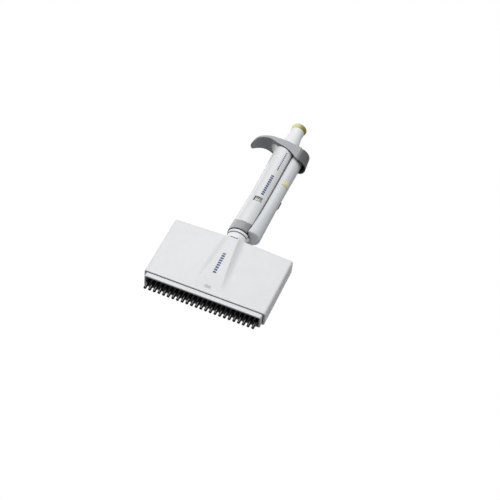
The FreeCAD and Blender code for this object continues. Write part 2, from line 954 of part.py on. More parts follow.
def housing_solid():
    """Outside of both covers together, before they are hollowed."""
    half_width = size("housing_half_width")
    half_depth = size("housing_half_depth")
    low = size("housing_bottom_level")
    shoulder = size("housing_shoulder_level")
    peak = size("housing_peak_level")
    neck = size("neck_half_width")
    corners = [
        Vector(-half_width, -half_depth, low),
        Vector(half_width, -half_depth, low),
        Vector(half_width, -half_depth, shoulder),
        Vector(neck, -half_depth, peak),
        Vector(-neck, -half_depth, peak),
        Vector(-half_width, -half_depth, shoulder),
    ]
    face = Part.Face(Part.makePolygon(corners + corners[:1]))
    block = face.extrude(Vector(0, 2 * half_depth, 0))
    rounded = [edge for edge in block.Edges if edge.BoundBox.ZMax > low + size("overlap")]
    block = block.makeFillet(size("housing_rounding"), rounded)
    sections = [
        wedge_section("top", peak),
        wedge_section("middle", size("wedge_middle_level")),
        wedge_section("bottom", size("wedge_bottom_level")),
    ]
    wedge = Part.makeLoft(sections, True, True)
    return block.fuse(wedge).removeSplitter()


def cover_screw_places(kind):
    """Where the heads of one kind of cover screw rest, inside the rear cover."""
    level = size(f"{kind}_level")
    return [(sign * size(f"{kind}_offset"), size("screw_seat_depth"), level) for _, sign in SIDES]


def cover_screw_holes(kind, start):
    """Holes for one kind of cover screw, widened behind the seats of the heads."""
    wide = size("screw_seat_radius")
    return [
        along_y(size(f"{kind}_radius"), x, level, start, BEYOND).fuse(along_y(wide, x, level, seat, BEYOND))
        for x, seat, level in cover_screw_places(kind)
    ]


def head_covers():
    """Front and rear shells of the head, joined by screws from behind."""
    wall = size("housing_wall")
    inner_x = size("housing_half_width") - wall
    inner_y = size("housing_half_depth") - wall
    ceiling = size("housing_shoulder_level") - wall
    cavity = brick((-inner_x, inner_x), (-inner_y, inner_y), (-BEYOND, ceiling))
    well = upright(size("well_radius"), size("well_bottom_level"), BEYOND)
    shell = housing_solid().cut(cavity).cut(well)
    bosses = [
        along_y(size("boss_radius"), x, level, -inner_y - size("overlap"), inner_y + size("overlap"))
        for x, _, level in cover_screw_places("long_screw")
    ]
    seat = size("screw_seat_depth")
    long_holes = cover_screw_holes("long_screw", seat - size("long_screw_length") - size("overlap"))
    short_holes = cover_screw_holes("short_screw", seat - size("housing_wall"))
    slot_level = size("slot_level")
    slot = brick(
        (-size("slot_half_width"), size("slot_half_width")),
        (-BEYOND, -size("slot_depth")),
        (slot_level, slot_level + size("slot_height")),
    )
    shell = shell.fuse(bosses).cut(long_holes + short_holes + [slot]).removeSplitter()
    keep(feature("head_front_cover", shell.common(front_half())))
    keep(feature("head_rear_cover", shell.common(rear_half())))
    toward_front = Vector(0, -1, 0)
    for name, kind in (("cover_long_screws", "long_screw"), ("cover_short_screws", "short_screw")):
        keep(screws(name, kind, cover_screw_places(kind), toward_front))


def carriage_springs():
    """Two springs round the guide rods that lift the crosshead back."""
    low = size("spring_pocket_level")
    high = size("crosshead_level")
    coils = [
        coil(
            f"carriage_spring_{tag}",
            "carriage_spring",
            low,
            high,
            sign * size("guide_offset_x"),
            size("guide_offset_y"),
        )
        for tag, sign in SIDES
    ]
    keep(group("carriage_springs", coils))


# ---------------------------------------------------------------- the ejector


def ejector_strip():
    """White skirt round the cones and the plate inside it that strips the tips."""
    inner_length = "strip_half_length - strip_wall"
    inner_depth = "strip_half_depth - strip_wall"
    outer = slab(
        "strip_outer", "strip_half_length", "strip_half_depth", "strip_bottom_level", "strip_top_level"
    )
    inner = slab(
        "strip_inner", inner_length, inner_depth, below("strip_bottom_level"), above("strip_top_level")
    )
    keep(cut("ejector_strip", outer, inner))
    top = "stripper_level + stripper_thickness"
    plate = slab("stripper_blank", inner_length, inner_depth, "stripper_level", top)
    holes = row_of_drills("stripper_holes", "stripper_hole_radius", below("stripper_level"), above(top))
    keep(drilled("stripper_plate", plate, holes))


def ejector_beam():
    """Cross beam with a sleeve that stands up round the neck, and the rods that hang from it."""
    keep(at_rods("ejector_rods", "rod_radius", "strip_top_level", "beam_level"))
    beam = slab(
        "beam_bar", "rod_offset + rod_radius", "beam_half_depth", "beam_level", "beam_level + beam_thickness"
    )
    sleeve = cylinder("beam_sleeve", "sleeve_radius", "beam_level", "sleeve_top_level")
    bore = cylinder("beam_bore", "sleeve_bore_radius", below("beam_level"), above("sleeve_top_level"))
    keep(cut("ejector_beam", fuse("beam_blank", beam, sleeve), bore))


def transfer_ring():
    """Ring at the foot of the rail that pushes the sleeve down as the head turns in it."""
    levels = ("ring_level", "ring_top_level")
    bore = "sleeve_bore_radius"
    tube = ring("ring_tube", bore, "ring_collar_radius", "ring_bottom_level", "ring_top_level")
    band = ring("ring_band", bore, "ring_radius", *levels)
    flat = box("ring_flat", ("ring_flat_offset", "ring_radius"), ("-ring_radius", "ring_radius"), levels)
    depth = ("-ring_leg_half_width", "ring_leg_half_width")
    leg = box("ring_leg", ("ring_leg_start", "ring_leg_end"), depth, ("ring_level", "rail_bottom_level"))
    keep(fuse("transfer_ring", tube, cut("ring_part_band", band, flat), leg))


def rail_loft(inset, low, high):
    """The rail's outside, or its inside with the wall as inset."""
    whole = lofted(RAIL_CIRCLES, inset)
    return whole.common(brick((-BEYOND, BEYOND), (-BEYOND, BEYOND), (low, high)))


def grip_side_edge(offset):
    """The grip's side as a smooth curve of radius against level."""
    curve = Part.BSplineCurve()
    curve.interpolate([Vector(size(radius) + offset, 0, size(level)) for radius, level in GRIP_SIDE])
    return curve.toShape()


def grip_solid(offset=0.0, bore=0.0):
    """The grip as a turned shape, grown by offset, solid or hollow."""
    edge = grip_side_edge(offset)
    top = edge.Vertexes[-1].Point
    bottom = edge.Vertexes[0].Point
    rest = Part.makePolygon([top, Vector(bore, 0, top.z), Vector(bore, 0, bottom.z), bottom])
    face = Part.Face(Part.Wire([edge] + rest.Edges))
    return face.revolve(Vector(0, 0, 0), Vector(0, 0, 1), 360)


def collar_notch(gap=0.0):
    """Space in the right side of the lower collar for the foot of the rail, shrunk by a gap."""
    low = size(below("collar_bottom_level"))
    high = size("rail_bottom_level + rail_floor + rail_gap") - gap
    space = brick((size("notch_offset") + gap, BEYOND), (-BEYOND, BEYOND), (low, high))
    return space.cut(upright(size("notch_radius") + gap, low, BEYOND))


def rail_clearance():
    """Everything the rail has to keep clear of: the grip and the lower collar."""
    gap = size("rail_gap")
    low = size(below("rail_bottom_level"))
    collar = upright(size("collar_radius") + gap, low, size("collar_top_level"))
    return grip_solid(gap).fuse(collar.cut(collar_notch(gap)))


def ejector_rail():
    """White channel down the right side of the grip, with a web for its spring."""
    low = size("rail_bottom_level")
    high = size("rail_top_level")
    wall = size("rail_wall")
    web_level = size("spring_web_level")
    outer = rail_loft(0.0, low, high)
    foot = [edge for edge in outer.Edges if edge.BoundBox.ZMax < low + size("overlap")]
    outer = outer.makeFillet(size("rail_rounding"), foot)
    inner = rail_loft(wall, low + size("rail_floor"), high - wall)
    web = rail_loft(wall - size("running_gap"), web_level, web_level + size("spring_web_thickness"))
    rail = outer.cut(inner).fuse(web).cut(rail_clearance()).removeSplitter()
    keep(feature("ejector_rail", rail))


def ejector_return():
    """Bracket on the grip and the spring that lifts the rail back."""
    half_width = size("bracket_half_width")
    low = size("bracket_level")
    top = low + size("bracket_thickness")
    bracket = brick(
        (size("grip_bore_radius"), size("bracket_reach")), (-half_width, half_width), (low, top)
    )
    keep(feature("spring_bracket", bracket.cut(grip_solid())))
    spring_x = size("ejector_spring_offset")
    keep(coil("ejector_spring", "ejector_spring", top, size("spring_web_level"), spring_x))


def rail_details():
    """Release catch at the back of the rail and the coloured volume mark on its front."""
    centre = Vector(size("rail_top_offset"), 0, 0)
    up = Vector(0, 0, 1)
    outer = rail_loft(0.0, size("rail_bottom_level"), size("rail_top_level"))
    half_width = size("catch_half_width")
    low = size("catch_level")
    catch = brick(
        (-half_width, half_width),
        (size("catch_start"), size("catch_end")),
        (low, low + size("catch_height")),
    )
    catch = catch.makeFillet(size("catch_rounding"), catch.Edges)
    catch.rotate(Vector(), up, size("catch_turn"))
    catch.translate(centre)
    keep(feature("rail_catch", catch.cut(outer)))
    mark = Part.makeCylinder(
        size("mark_radius"),
        size("mark_height"),
        Vector(0, 0, size("mark_level")),
        up,
        size("mark_sweep"),
    )
    mark.rotate(Vector(), up, size("mark_start_turn"))
    mark.translate(centre)
    keep(feature("volume_mark", mark.cut(outer)))


# ------------------------------------------------------------------- the grip


def below_arch():
    """Everything under the arched joint line between the collar and the grip."""
    middle = size("collar_arch_level")
    rise = size("collar_arch_rise")
    side = size("collar_radius")
    points = [(share * side, middle + rise * share * share) for share in ARCH_STATIONS]
    return under_curve(points)


def lower_collar():
    """Grey collar that the neck turns in, its top edge arched up at both sides."""
    bottom = size("collar_bottom_level")
    top = size("collar_top_level")
    journal = size("neck_journal_radius + running_gap")
    foot = Part.makeCone(
        size("collar_radius"), size("grip_bottom_radius"), top - bottom, Vector(0, 0, bottom)
    )
    rim = [edge for edge in foot.Edges if edge.BoundBox.ZMax < bottom + size("overlap")]
    foot = foot.makeFillet(size("collar_rounding"), rim)
    whole = foot.fuse(grip_solid()).common(below_arch())
    clip_room = upright(size("grip_bore_radius"), size("clip_groove_level"), BEYOND)
    whole = whole.cut([clip_room, collar_notch(), upright(journal, 0, BEYOND)])
    keep(feature("lower_collar", whole.removeSplitter()))


def window_prism(margin, depth):
    """A box at the display, from a depth inside the grip out past its front."""
    centre = size("window_offset")
    level = size("window_level")
    half_x = size("window_half_width") + margin
    half_z = size("window_half_height") + margin
    return brick((centre - half_x, centre + half_x), (-BEYOND, -depth), (level - half_z, level + half_z))


def collar_underside(rise=0.0):
    """Space below the finger collar's lower edge, measured at its front face."""
    slope = size("underside_slope")
    drop = slope * (BEYOND - size("finger_body_radius"))
    return under_curve([(x, level + rise - drop) for x, level in COLLAR_LOW_CURVE], slope)


def grip_shells():
    """Front and rear halves of the grip, and the plug of the adjusting hole behind it."""
    bore = size("grip_bore_radius")
    plug_radius = size("plug_radius")
    plug_level = size("plug_level")
    window = window_prism(size("bezel_margin"), size("window_cut_depth"))
    plug_hole = along_y(plug_radius, 0.0, plug_level, size("window_cut_depth"), BEYOND)
    flare = lofted(FLARE_CIRCLES).common(collar_underside()).cut(upright(bore, 0, BEYOND))
    tube = grip_solid(bore=bore).fuse(flare).cut([window, plug_hole, below_arch()])
    tube = tube.removeSplitter()
    keep(feature("grip_front_shell", tube.common(front_half())))
    keep(feature("grip_rear_shell", tube.common(rear_half())))
    plug = along_y(plug_radius, 0.0, plug_level, bore, size("plug_face_depth"))
    keep(feature("calibration_plug", plug))


def display():
    """Bezel and clear window over the counter."""
    depth = size("window_cut_depth")
    surface = size("grip_waist_radius")
    inside = upright(size("chassis_radius"), 0, BEYOND)
    outside = upright(surface + size("bezel_stand"), 0, BEYOND)
    opening = window_prism(0.0, depth)
    frame = window_prism(size("bezel_margin"), depth).common(outside)
    keep(feature("window_bezel", frame.cut(opening).cut(inside)))
    pane_face = surface - size("pane_recess")
    pane_back = upright(pane_face - size("pane_thickness"), 0, BEYOND)
    keep(feature("window_pane", opening.common(upright(pane_face, 0, BEYOND)).cut(pane_back)))


def chassis():
    """Inner tube that carries the counter, the springs and the plunger's bush."""
    bore = "plunger_radius + plunger_play"
    floor_top = "chassis_level + chassis_floor"
    tube = turned(
        "chassis_blank",
        [
            (bore, "chassis_level"),
            ("chassis_radius", "chassis_level"),
            ("chassis_radius", "chassis_top_level"),
            ("chassis_bore_radius", "chassis_top_level"),
            ("chassis_bore_radius", floor_top),
            (bore, floor_top),
        ],
    )
    half_width = "(window_half_width + chassis_window_margin)"
    opening = box(
        "chassis_window",
        (f"window_offset - {half_width}", f"window_offset + {half_width}"),
        (below("-chassis_radius"), "-chassis_window_depth"),
        ("window_level - window_half_height", "window_level + window_half_height"),
    )
    keep(cut("chassis_tube", tube, opening))
    keep(
        ring(
            "plunger_bush",
            "plunger_radius + running_gap",
            "chassis_bore_radius",
            "chassis_top_level - bush_length",
            "chassis_top_level",
        )
    )


def counter():
    """Three number wheels on an arbor behind the window."""
    base = "wheel_base_level - running_gap"
    flange = f"{base} - arbor_flange_thickness"
    arbor_radius = "wheel_bore_radius - running_gap"
    keep(
        turned(
            "counter_arbor",
            [
                ("arbor_bore_radius", flange),
                ("chassis_bore_radius", flange),
                ("chassis_bore_radius", base),
                (arbor_radius, base),
                (arbor_radius, WHEELS_TOP),
                ("arbor_bore_radius", WHEELS_TOP),
            ],
        )
    )
    keep(
        ring(
            "counter_retainer",
            "arbor_bore_radius",
            "chassis_bore_radius",
            WHEELS_TOP,
            f"{WHEELS_TOP} + retainer_thickness",
        )
    )
    for index, name in enumerate(("counter_wheel_low", "counter_wheel_middle", "counter_wheel_high")):
        low = f"wheel_base_level + {index} * wheel_pitch"
        keep(ring(name, "wheel_bore_radius", "wheel_radius", low, f"{low} + wheel_height"))


def stop_stage():
    """Washer and spring of the blow-out stop below the counter."""
    keep(
        ring(
            "blowout_washer",
            "plunger_radius + plunger_play",
            "chassis_bore_radius - washer_play",
            "washer_level",
            "washer_level + washer_thickness",
        )
    )
    low = size("chassis_level + chassis_floor")
    keep(coil("blowout_spring", "blowout_spring", low, size("washer_level")))


def plunger():
    """Rod from the control button to the coupling rod, with its return spring."""
    foot = "coupling_top_level + running_gap"
    flange_top = "plunger_flange_level + plunger_flange_height"
    keep(
        turned(
            "plunger_rod",
            [
                ("0", foot),
                ("plunger_radius", foot),
                ("plunger_radius", "plunger_flange_level"),
                ("plunger_flange_radius", "plunger_flange_level"),
                ("plunger_flange_radius", flange_top),
                ("plunger_radius", flange_top),
                ("plunger_radius", "plunger_top_level"),
                ("0", "plunger_top_level"),
            ],
        )
    )
    seat_top = "seat_disc_level + seat_disc_thickness"
    keep(ring("spring_seat", "plunger_radius", "seat_disc_radius", "seat_disc_level", seat_top))
    low = size(f"{WHEELS_TOP} + retainer_thickness")
    keep(coil("return_spring", "return_spring", low, size("seat_disc_level")))


def control_button():
    """White button shell that is pressed and turned, with a coloured cap."""
    bore = "plunger_radius + running_gap"
    skirt_bore = "button_skirt_radius - button_skirt_wall"
    inside = [
        (bore, "button_top_level"),
        (bore, "button_hub_level"),
        ("button_hub_radius", "button_hub_level"),
        ("button_hub_radius", "button_hollow_level"),
        ("button_stem_radius", "button_shoulder_level + 3.5"),
        (skirt_bore, "button_shoulder_level"),
        (skirt_bore, "button_bottom_level"),
    ]
    keep(turned("control_button", BUTTON_SIDE + inside))
    keep(
        turned(
            "button_cap",
            [
                ("0", "button_top_level"),
                ("cap_radius - cap_bevel", "button_top_level"),
                ("cap_radius", "button_top_level + cap_bevel"),
                ("cap_radius", "cap_top_level - cap_bevel"),
                ("cap_radius - cap_bevel", "cap_top_level"),
                ("cap_radius - 2 * cap_bevel", "cap_top_level"),
                ("0", "cap_top_level - cap_dish"),
            ],
        )
    )


# --------------------------------------------------------------- finger collar


def hull_side(circles, level, sign):
    """One long side of the outline round a row of circles, as straight runs and arcs."""
    edges = []
    reached = None
    for (x, radius), (next_x, next_radius) in zip(circles, circles[1:]):
        across = (radius - next_radius) / (next_x - x)
        up = sign * math.sqrt(1 - across * across)
        start = Vector(x + radius * across, radius * up, level)
        end = Vector(next_x + next_radius * across, next_radius * up, level)
        if reached:
            edges.append(Part.Arc(reached, Vector(x, sign * radius, level), start).toShape())
        edges.append(Part.LineSegment(start, end).toShape())
        reached = end
    return edges


def hull_wire(circles, level):
    """Outline round circles in a row, given as (x, radius), the middle one largest."""
    back = hull_side(circles, level, 1)
    front = hull_side(circles, level, -1)
    first_x, first_radius = circles[0]
    last_x, last_radius = circles[-1]
    back_start = back[0].Vertexes[0].Point
    back_end = back[-1].Vertexes[-1].Point
    front_start = front[0].Vertexes[0].Point
    front_end = front[-1].Vertexes[-1].Point
    left = Part.Arc(front_start, Vector(first_x - first_radius, 0, level), back_start).toShape()
    right = Part.Arc(back_end, Vector(last_x + last_radius, 0, level), front_end).toShape()
    return Part.Wire([left] + back + [right] + front[::-1])


def hull_solid(circles, low, high):
    """That outline raised between two levels."""
    return Part.Face(hull_wire(circles, low)).extrude(Vector(0, 0, high - low))


def collar_circles(inset):
    """Circles of the collar's body and of its rail side, drawn in by a wall."""
    return [
        (0.0, size("finger_body_radius") - inset),
        (size("rail_top_offset"), size("finger_rail_radius") - inset),
    ]


def key_block(inset, top):
    """The rail side of the collar, widening downward, drawn in by a wall."""
    foot = [
        (0.0, size("finger_body_radius") - inset),
        (size("key_foot_offset"), size("key_foot_radius") - inset),
    ]
    low_wire = hull_wire(foot, size("chassis_top_level"))
    return Part.makeLoft([low_wire, hull_wire(collar_circles(inset), top)], True, True)


def finger_collar():
    """Grey collar round the top of the grip, running out into the finger hook."""
    hook_tip = (-size("hook_tip_offset"), size("hook_tip_radius"))
    low = size("chassis_top_level")
    plan = hull_solid([hook_tip] + collar_circles(0.0), low, BEYOND)
    band = plan.common(under_curve(COLLAR_TOP_CURVE)).cut(collar_underside())
    recess = hull_solid(collar_circles(size("finger_rim_wall")), low, BEYOND)
    recess = recess.common(collar_underside(size("finger_recess_depth")))
    button = upright(size("button_skirt_radius") + size("button_play"), low, BEYOND)
    rail_circle = (size("rail_top_offset"), size("finger_rail_radius") - size("rail_pocket_wall"))
    pocket = hull_solid([(0.0, 1.0), rail_circle], low, size("rail_pocket_level"))
    pocket = pocket.common(right_of(size("rail_pocket_start")))
    tools = [grip_solid(), button, recess, pocket, right_of(size("key_seam"))]
    keep(feature("finger_collar", band.cut(tools).removeSplitter()))


def ejector_key():
    """Grey thumb key at the right of the collar, carried by the top of the rail."""
    top = size("key_top_level")
    seam = size("key_seam") + size("key_seam_gap")
    half_width = size("key_stem_half_width")
    ceiling = top - size("key_roof")
    outer = key_block(0.0, top).common(right_of(seam))
    inner = key_block(size("key_wall"), ceiling)
    stem = brick(
        (seam, size("key_stem_end")),
        (-half_width, half_width),
        (size("rail_top_level"), ceiling + size("overlap")),
    )
    key = outer.cut(inner).cut(collar_underside()).fuse(stem).removeSplitter()
    keep(feature("ejector_key", key))


# -------------------------------------------------------------------- assembly


def build():
    """Make every piece, head first."""
    tip_cones()
    nozzle_plate()
    cylinder_block()
    seal_plate()
    piston_seals()
    pistons()
    crosshead()
    piston_clamp()
    guide_rods()
    upper_bridge()
    head_neck()
    coupling_rod()
    head_covers()
    carriage_springs()
    ejector_strip()
    ejector_beam()
    transfer_ring()
    ejector_rail()
    ejector_return()
    rail_details()
    lower_collar()
    grip_shells()
    display()
    chassis()
    counter()
    stop_stage()
    plunger()
    control_button()
    finger_collar()
    ejector_key()


def check_document():
    """Stop if anything failed to build."""
    for item in doc.Objects:
        if "Invalid" in item.State or "Error" in item.State:
            raise RuntimeError(f"{item.Name} did not build: {item.State}")
    for piece in pieces:
        if piece.Shape.isNull() or not piece.Shape.isValid():
            raise RuntimeError(f"{piece.Label} has no valid shape")
        if not piece.Shape.Solids or piece.Shape.Volume <= 0:
            raise RuntimeError(f"{piece.Label} has no solid")


def export():
    """Write each piece to its own file."""
    os.makedirs("parts", exist_ok=True)
    for piece in pieces:
        piece.Shape.exportStep(os.path.join("parts", f"{piece.Label}.step"))


build()
doc.recompute()
check_document()
export()
for piece in pieces:
    bounds = piece.Shape.BoundBox
    print(
        f"{piece.Label:22s} solids {len(piece.Shape.Solids):2d} "
        f"z {bounds.ZMin:6.1f} to {bounds.ZMax:6.1f} volume {piece.Shape.Volume:9.1f}"
    )
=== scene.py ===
import json
import math

import bmesh
import bpy
from mathutils import Matrix, Vector
from mathutils.bvhtree import BVHTree


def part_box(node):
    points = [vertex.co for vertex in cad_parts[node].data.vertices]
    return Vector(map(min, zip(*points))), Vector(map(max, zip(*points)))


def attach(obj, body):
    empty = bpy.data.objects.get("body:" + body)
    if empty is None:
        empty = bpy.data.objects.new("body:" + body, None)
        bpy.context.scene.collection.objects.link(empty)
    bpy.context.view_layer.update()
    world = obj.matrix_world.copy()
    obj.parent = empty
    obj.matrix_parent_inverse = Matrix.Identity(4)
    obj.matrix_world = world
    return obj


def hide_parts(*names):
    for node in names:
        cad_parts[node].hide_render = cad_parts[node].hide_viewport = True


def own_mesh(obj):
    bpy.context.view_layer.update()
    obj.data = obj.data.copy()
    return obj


# A 24-channel mechanical pipette. Blender works in metres; the shapes below are given in
# millimetres and scaled by MM as they are made. X runs along the row of cones, -Y is the
# front of the head and Z is the long axis.

MM = 0.001

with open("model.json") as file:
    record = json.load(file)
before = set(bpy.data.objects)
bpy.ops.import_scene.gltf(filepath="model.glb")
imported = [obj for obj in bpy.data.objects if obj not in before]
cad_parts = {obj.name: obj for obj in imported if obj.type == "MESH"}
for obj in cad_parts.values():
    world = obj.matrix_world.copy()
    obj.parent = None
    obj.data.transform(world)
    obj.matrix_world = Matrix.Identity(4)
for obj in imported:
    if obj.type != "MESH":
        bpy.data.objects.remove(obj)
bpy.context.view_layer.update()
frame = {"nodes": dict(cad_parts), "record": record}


def span(node):
    """Lowest and highest corner of a CAD node, in millimetres."""
    low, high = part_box(node)
    return low / MM, high / MM


# --------------------------------------------------------------- mesh building


def mesh_object(name, vertices, faces):
    """A mesh object from points in millimetres."""
    mesh = bpy.data.meshes.new(name)
    mesh.from_pydata([tuple(c * MM for c in v) for v in vertices], [], faces)
    mesh.validate()
    thing = bpy.data.objects.new(name, mesh)
    bpy.context.scene.collection.objects.link(thing)
    recalculate(thing)
    return thing


def recalculate(thing):
    """Merge doubled points and turn every face outwards."""
    shape = bmesh.new()
    shape.from_mesh(thing.data)
    bmesh.ops.remove_doubles(shape, verts=shape.verts, dist=1e-7)
    bmesh.ops.recalc_face_normals(shape, faces=shape.faces)
    shape.to_mesh(thing.data)
    shape.free()


def shade(thing, degrees):
    """Smooth shading that breaks at edges sharper than an angle."""
    for polygon in thing.data.polygons:
        polygon.use_smooth = True
    thing.data.set_sharp_from_angle(angle=math.radians(degrees))


def apply_modifiers(thing):
    """Replace the mesh by what its modifiers make of it."""
    graph = bpy.context.evaluated_depsgraph_get()
    result = bpy.data.meshes.new_from_object(thing.evaluated_get(graph))
    thing.modifiers.clear()
    thing.data = result


def cut(thing, tool):
    """Cut one object out of another, then remove it."""
    step = thing.modifiers.new("cut", "BOOLEAN")
    step.operation = "DIFFERENCE"
    step.solver = "EXACT"
    step.object = tool
    apply_modifiers(thing)
    bpy.data.objects.remove(tool)


def rounded(corners, arc_steps=5):
    """A closed outline of (across, up, fillet) corners with each fillet drawn as an arc."""
    outline = []
    count = len(corners)
    for index, (across, up, radius) in enumerate(corners):
        corner = Vector((across, up))
        if radius <= 0:
            outline.append(corner)
            continue
        before = (Vector(corners[index - 1][:2]) - corner).normalized()
        after = (Vector(corners[(index + 1) % count][:2]) - corner).normalized()
        half = before.angle(after) / 2
        reach = radius / math.tan(half)
        start = corner + before * reach
        end = corner + after * reach
        centre = corner + (before + after).normalized() * (radius / math.sin(half))
        first = start - centre
        second = end - centre
        sweep = first.angle(second)
        for step in range(arc_steps + 1):
            share = step / arc_steps
            blend = first * math.sin((1 - share) * sweep) + second * math.sin(share * sweep)
            outline.append(centre + blend / math.sin(sweep))
    return outline


def loop_faces(steps, count):
    """Faces of a closed outline of count points swept round a closed path."""
    faces = []
    for step in range(steps):
        here = step * count
        there = (step + 1) % steps * count
        for index in range(count):
            following = (index + 1) % count
            faces.append((here + index, there + index, there + following, here + following))
    return faces


def turned(name, outline, steps):
    """A closed outline of (radius, level) points revolved about the long axis."""
    vertices = []
    for step in range(steps):
        angle = 2 * math.pi * step / steps
        for radius, level in outline:
            vertices.append((radius * math.cos(angle), radius * math.sin(angle), level))
    return mesh_object(name, vertices, loop_faces(steps, len(outline)))


def block(name, low, high):
    """A plain box between two corners, used as a cutting tool."""
    shape = bmesh.new()
    bmesh.ops.create_cube(shape, size=1.0)
    for vertex in shape.verts:
        for axis in range(3):
            share = vertex.co[axis] + 0.5
            vertex.co[axis] = (low[axis] + (high[axis] - low[axis]) * share) * MM
    mesh = bpy.data.meshes.new(name)
    shape.to_mesh(mesh)
    shape.free()
    thing = bpy.data.objects.new(name, mesh)
    bpy.context.scene.collection.objects.link(thing)
    return thing


def fit_piece(thing, body, finish, stands_for=()):
    """Give a finished mesh its body, its material and the CAD nodes it replaces."""
    thing.data.materials.clear()
    thing.data.materials.append(finish)
    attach(thing, body)
    if stands_for:
        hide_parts(*stands_for)
    return thing


# ------------------------------------------------------------------- materials


class Nodes:
    """Short forms for building one material's node tree."""

    def __init__(self, name):
        self.material = bpy.data.materials.new(name)
        self.material.use_nodes = True
        self.tree = self.material.node_tree
        self.shader = self.tree.nodes["Principled BSDF"]
        where = self.add("ShaderNodeTexCoord")
        scale = self.add("ShaderNodeMapping")
        scale.inputs["Scale"].default_value = (1 / MM,) * 3
        self.join(where.outputs["Object"], scale.inputs["Vector"])
        self.place = scale.outputs["Vector"]

    def add(self, kind, **settings):
        node = self.tree.nodes.new(kind)
        for key, value in settings.items():
            setattr(node, key, value)
        return node

    def join(self, output, target):
        self.tree.links.new(output, target)

    def noise(self, per_mm, detail=3.0, stretch=(1, 1, 1)):
        """Noise whose cells are about 1 / per_mm millimetres across."""
        squeeze = self.add("ShaderNodeMapping")
        squeeze.inputs["Scale"].default_value = stretch
        self.join(self.place, squeeze.inputs["Vector"])
        node = self.add("ShaderNodeTexNoise")
        node.inputs["Scale"].default_value = per_mm
        node.inputs["Detail"].default_value = detail
        self.join(squeeze.outputs["Vector"], node.inputs["Vector"])
        return node.outputs["Fac"]

    def ramp(self, value, low, high, start=0.35, end=0.65):
        """value between start and end mapped to low and high."""
        node = self.add("ShaderNodeMapRange")
        node.inputs["From Min"].default_value = start
        node.inputs["From Max"].default_value = end
        node.inputs["To Min"].default_value = low
        node.inputs["To Max"].default_value = high
        self.join(value, node.inputs["Value"])
        return node.outputs["Result"]

    def mix(self, share, first, second):
        """Two colours, or a colour and a link, mixed by a linked share."""
        node = self.add("ShaderNodeMix", data_type="RGBA")
        self.join(share, node.inputs["Factor"])
        for target, colour in ((node.inputs["A"], first), (node.inputs["B"], second)):
            if isinstance(colour, tuple):
                target.default_value = (*colour, 1)
            else:
                self.join(colour, target)
        return node.outputs["Result"]

    def bump(self, height, strength, distance_mm):
        node = self.add("ShaderNodeBump")
        node.inputs["Strength"].default_value = strength
        node.inputs["Distance"].default_value = distance_mm * MM
        self.join(height, node.inputs["Height"])
        self.join(node.outputs["Normal"], self.shader.inputs["Normal"])

    def crevice(self, distance_mm):
        """0 in open places and 1 deep in a gap: the mask of the painted shade in gaps."""
        node = self.add("ShaderNodeAmbientOcclusion", samples=6)
        node.inputs["Distance"].default_value = distance_mm * MM
        turn = self.add("ShaderNodeMapRange")
        turn.inputs["From Min"].default_value = 0.8
        turn.inputs["From Max"].default_value = 0.35
        self.join(node.outputs["AO"], turn.inputs["Value"])
        return turn.outputs["Result"]


def tinted(colour, factor):
    """A colour made lighter or darker."""
    return tuple(min(1.0, part * factor) for part in colour)


def plastic(
    name,
    colour,
    roughness,
    grain_per_mm=3.0,
    grain=0.15,
    crevice_shade=0.5,
    specular=0.5,
    shade_reach_mm=1.3,
    shade_fade=None,
):
    """Moulded plastic: fine grain, uneven gloss, slight tone changes, and painted shade that darkens
    its gaps and joints.

    The last argument is painted shade: (shade colour, start, end), the colour that it fades to
    between two places on X.
    """
    nodes = Nodes(name)
    broad = nodes.noise(0.06, 2.0)
    fine = nodes.noise(grain_per_mm, 4.0)
    smears = nodes.noise(0.35, 5.0, (1.0, 1.0, 0.25))
    tone = nodes.mix(nodes.ramp(broad, 0.0, 1.0), tinted(colour, 0.985), tinted(colour, 1.015))
    # painted shade: the tone fades to a shade colour along X
    if shade_fade:
        shade_colour, start, end = shade_fade
        across = nodes.add("ShaderNodeSeparateXYZ")
        nodes.join(nodes.place, across.inputs["Vector"])
        tone = nodes.mix(nodes.ramp(across.outputs["X"], 0.0, 1.0, start, end), tone, shade_colour)
    # painted shade: the colour is darkened in gaps and joints, where shade falls
    gap_shaded = nodes.mix(nodes.crevice(shade_reach_mm), tone, tinted(colour, crevice_shade))
    nodes.join(gap_shaded, nodes.shader.inputs["Base Color"])
    gloss = nodes.ramp(smears, roughness * 0.88, roughness * 1.14, 0.3, 0.7)
    nodes.join(gloss, nodes.shader.inputs["Roughness"])
    nodes.shader.inputs["Specular IOR Level"].default_value = specular
    nodes.bump(fine, grain, 0.05)
    return nodes.material


def metal(name, colour, roughness, stretch=(1, 1, 1), scratch=0.1, per_mm=2.5):
    """Machined metal: stretched tool marks in gloss and bump, with dull patches."""
    nodes = Nodes(name)
    marks = nodes.noise(per_mm, 6.0, stretch)
    patches = nodes.noise(0.15, 3.0)
    tone = nodes.mix(nodes.ramp(patches, 0.0, 1.0), tinted(colour, 0.88), tinted(colour, 1.06))
    # painted shade: the metal is darkened in its gaps and hollows
    gap_shaded = nodes.mix(nodes.crevice(0.8), tone, tinted(colour, 0.4))
    nodes.join(gap_shaded, nodes.shader.inputs["Base Color"])
    gloss = nodes.ramp(marks, roughness * 0.7, roughness * 1.4, 0.3, 0.7)
    nodes.join(gloss, nodes.shader.inputs["Roughness"])
    nodes.shader.inputs["Metallic"].default_value = 1.0
    nodes.bump(marks, scratch, 0.02)
    return nodes.material


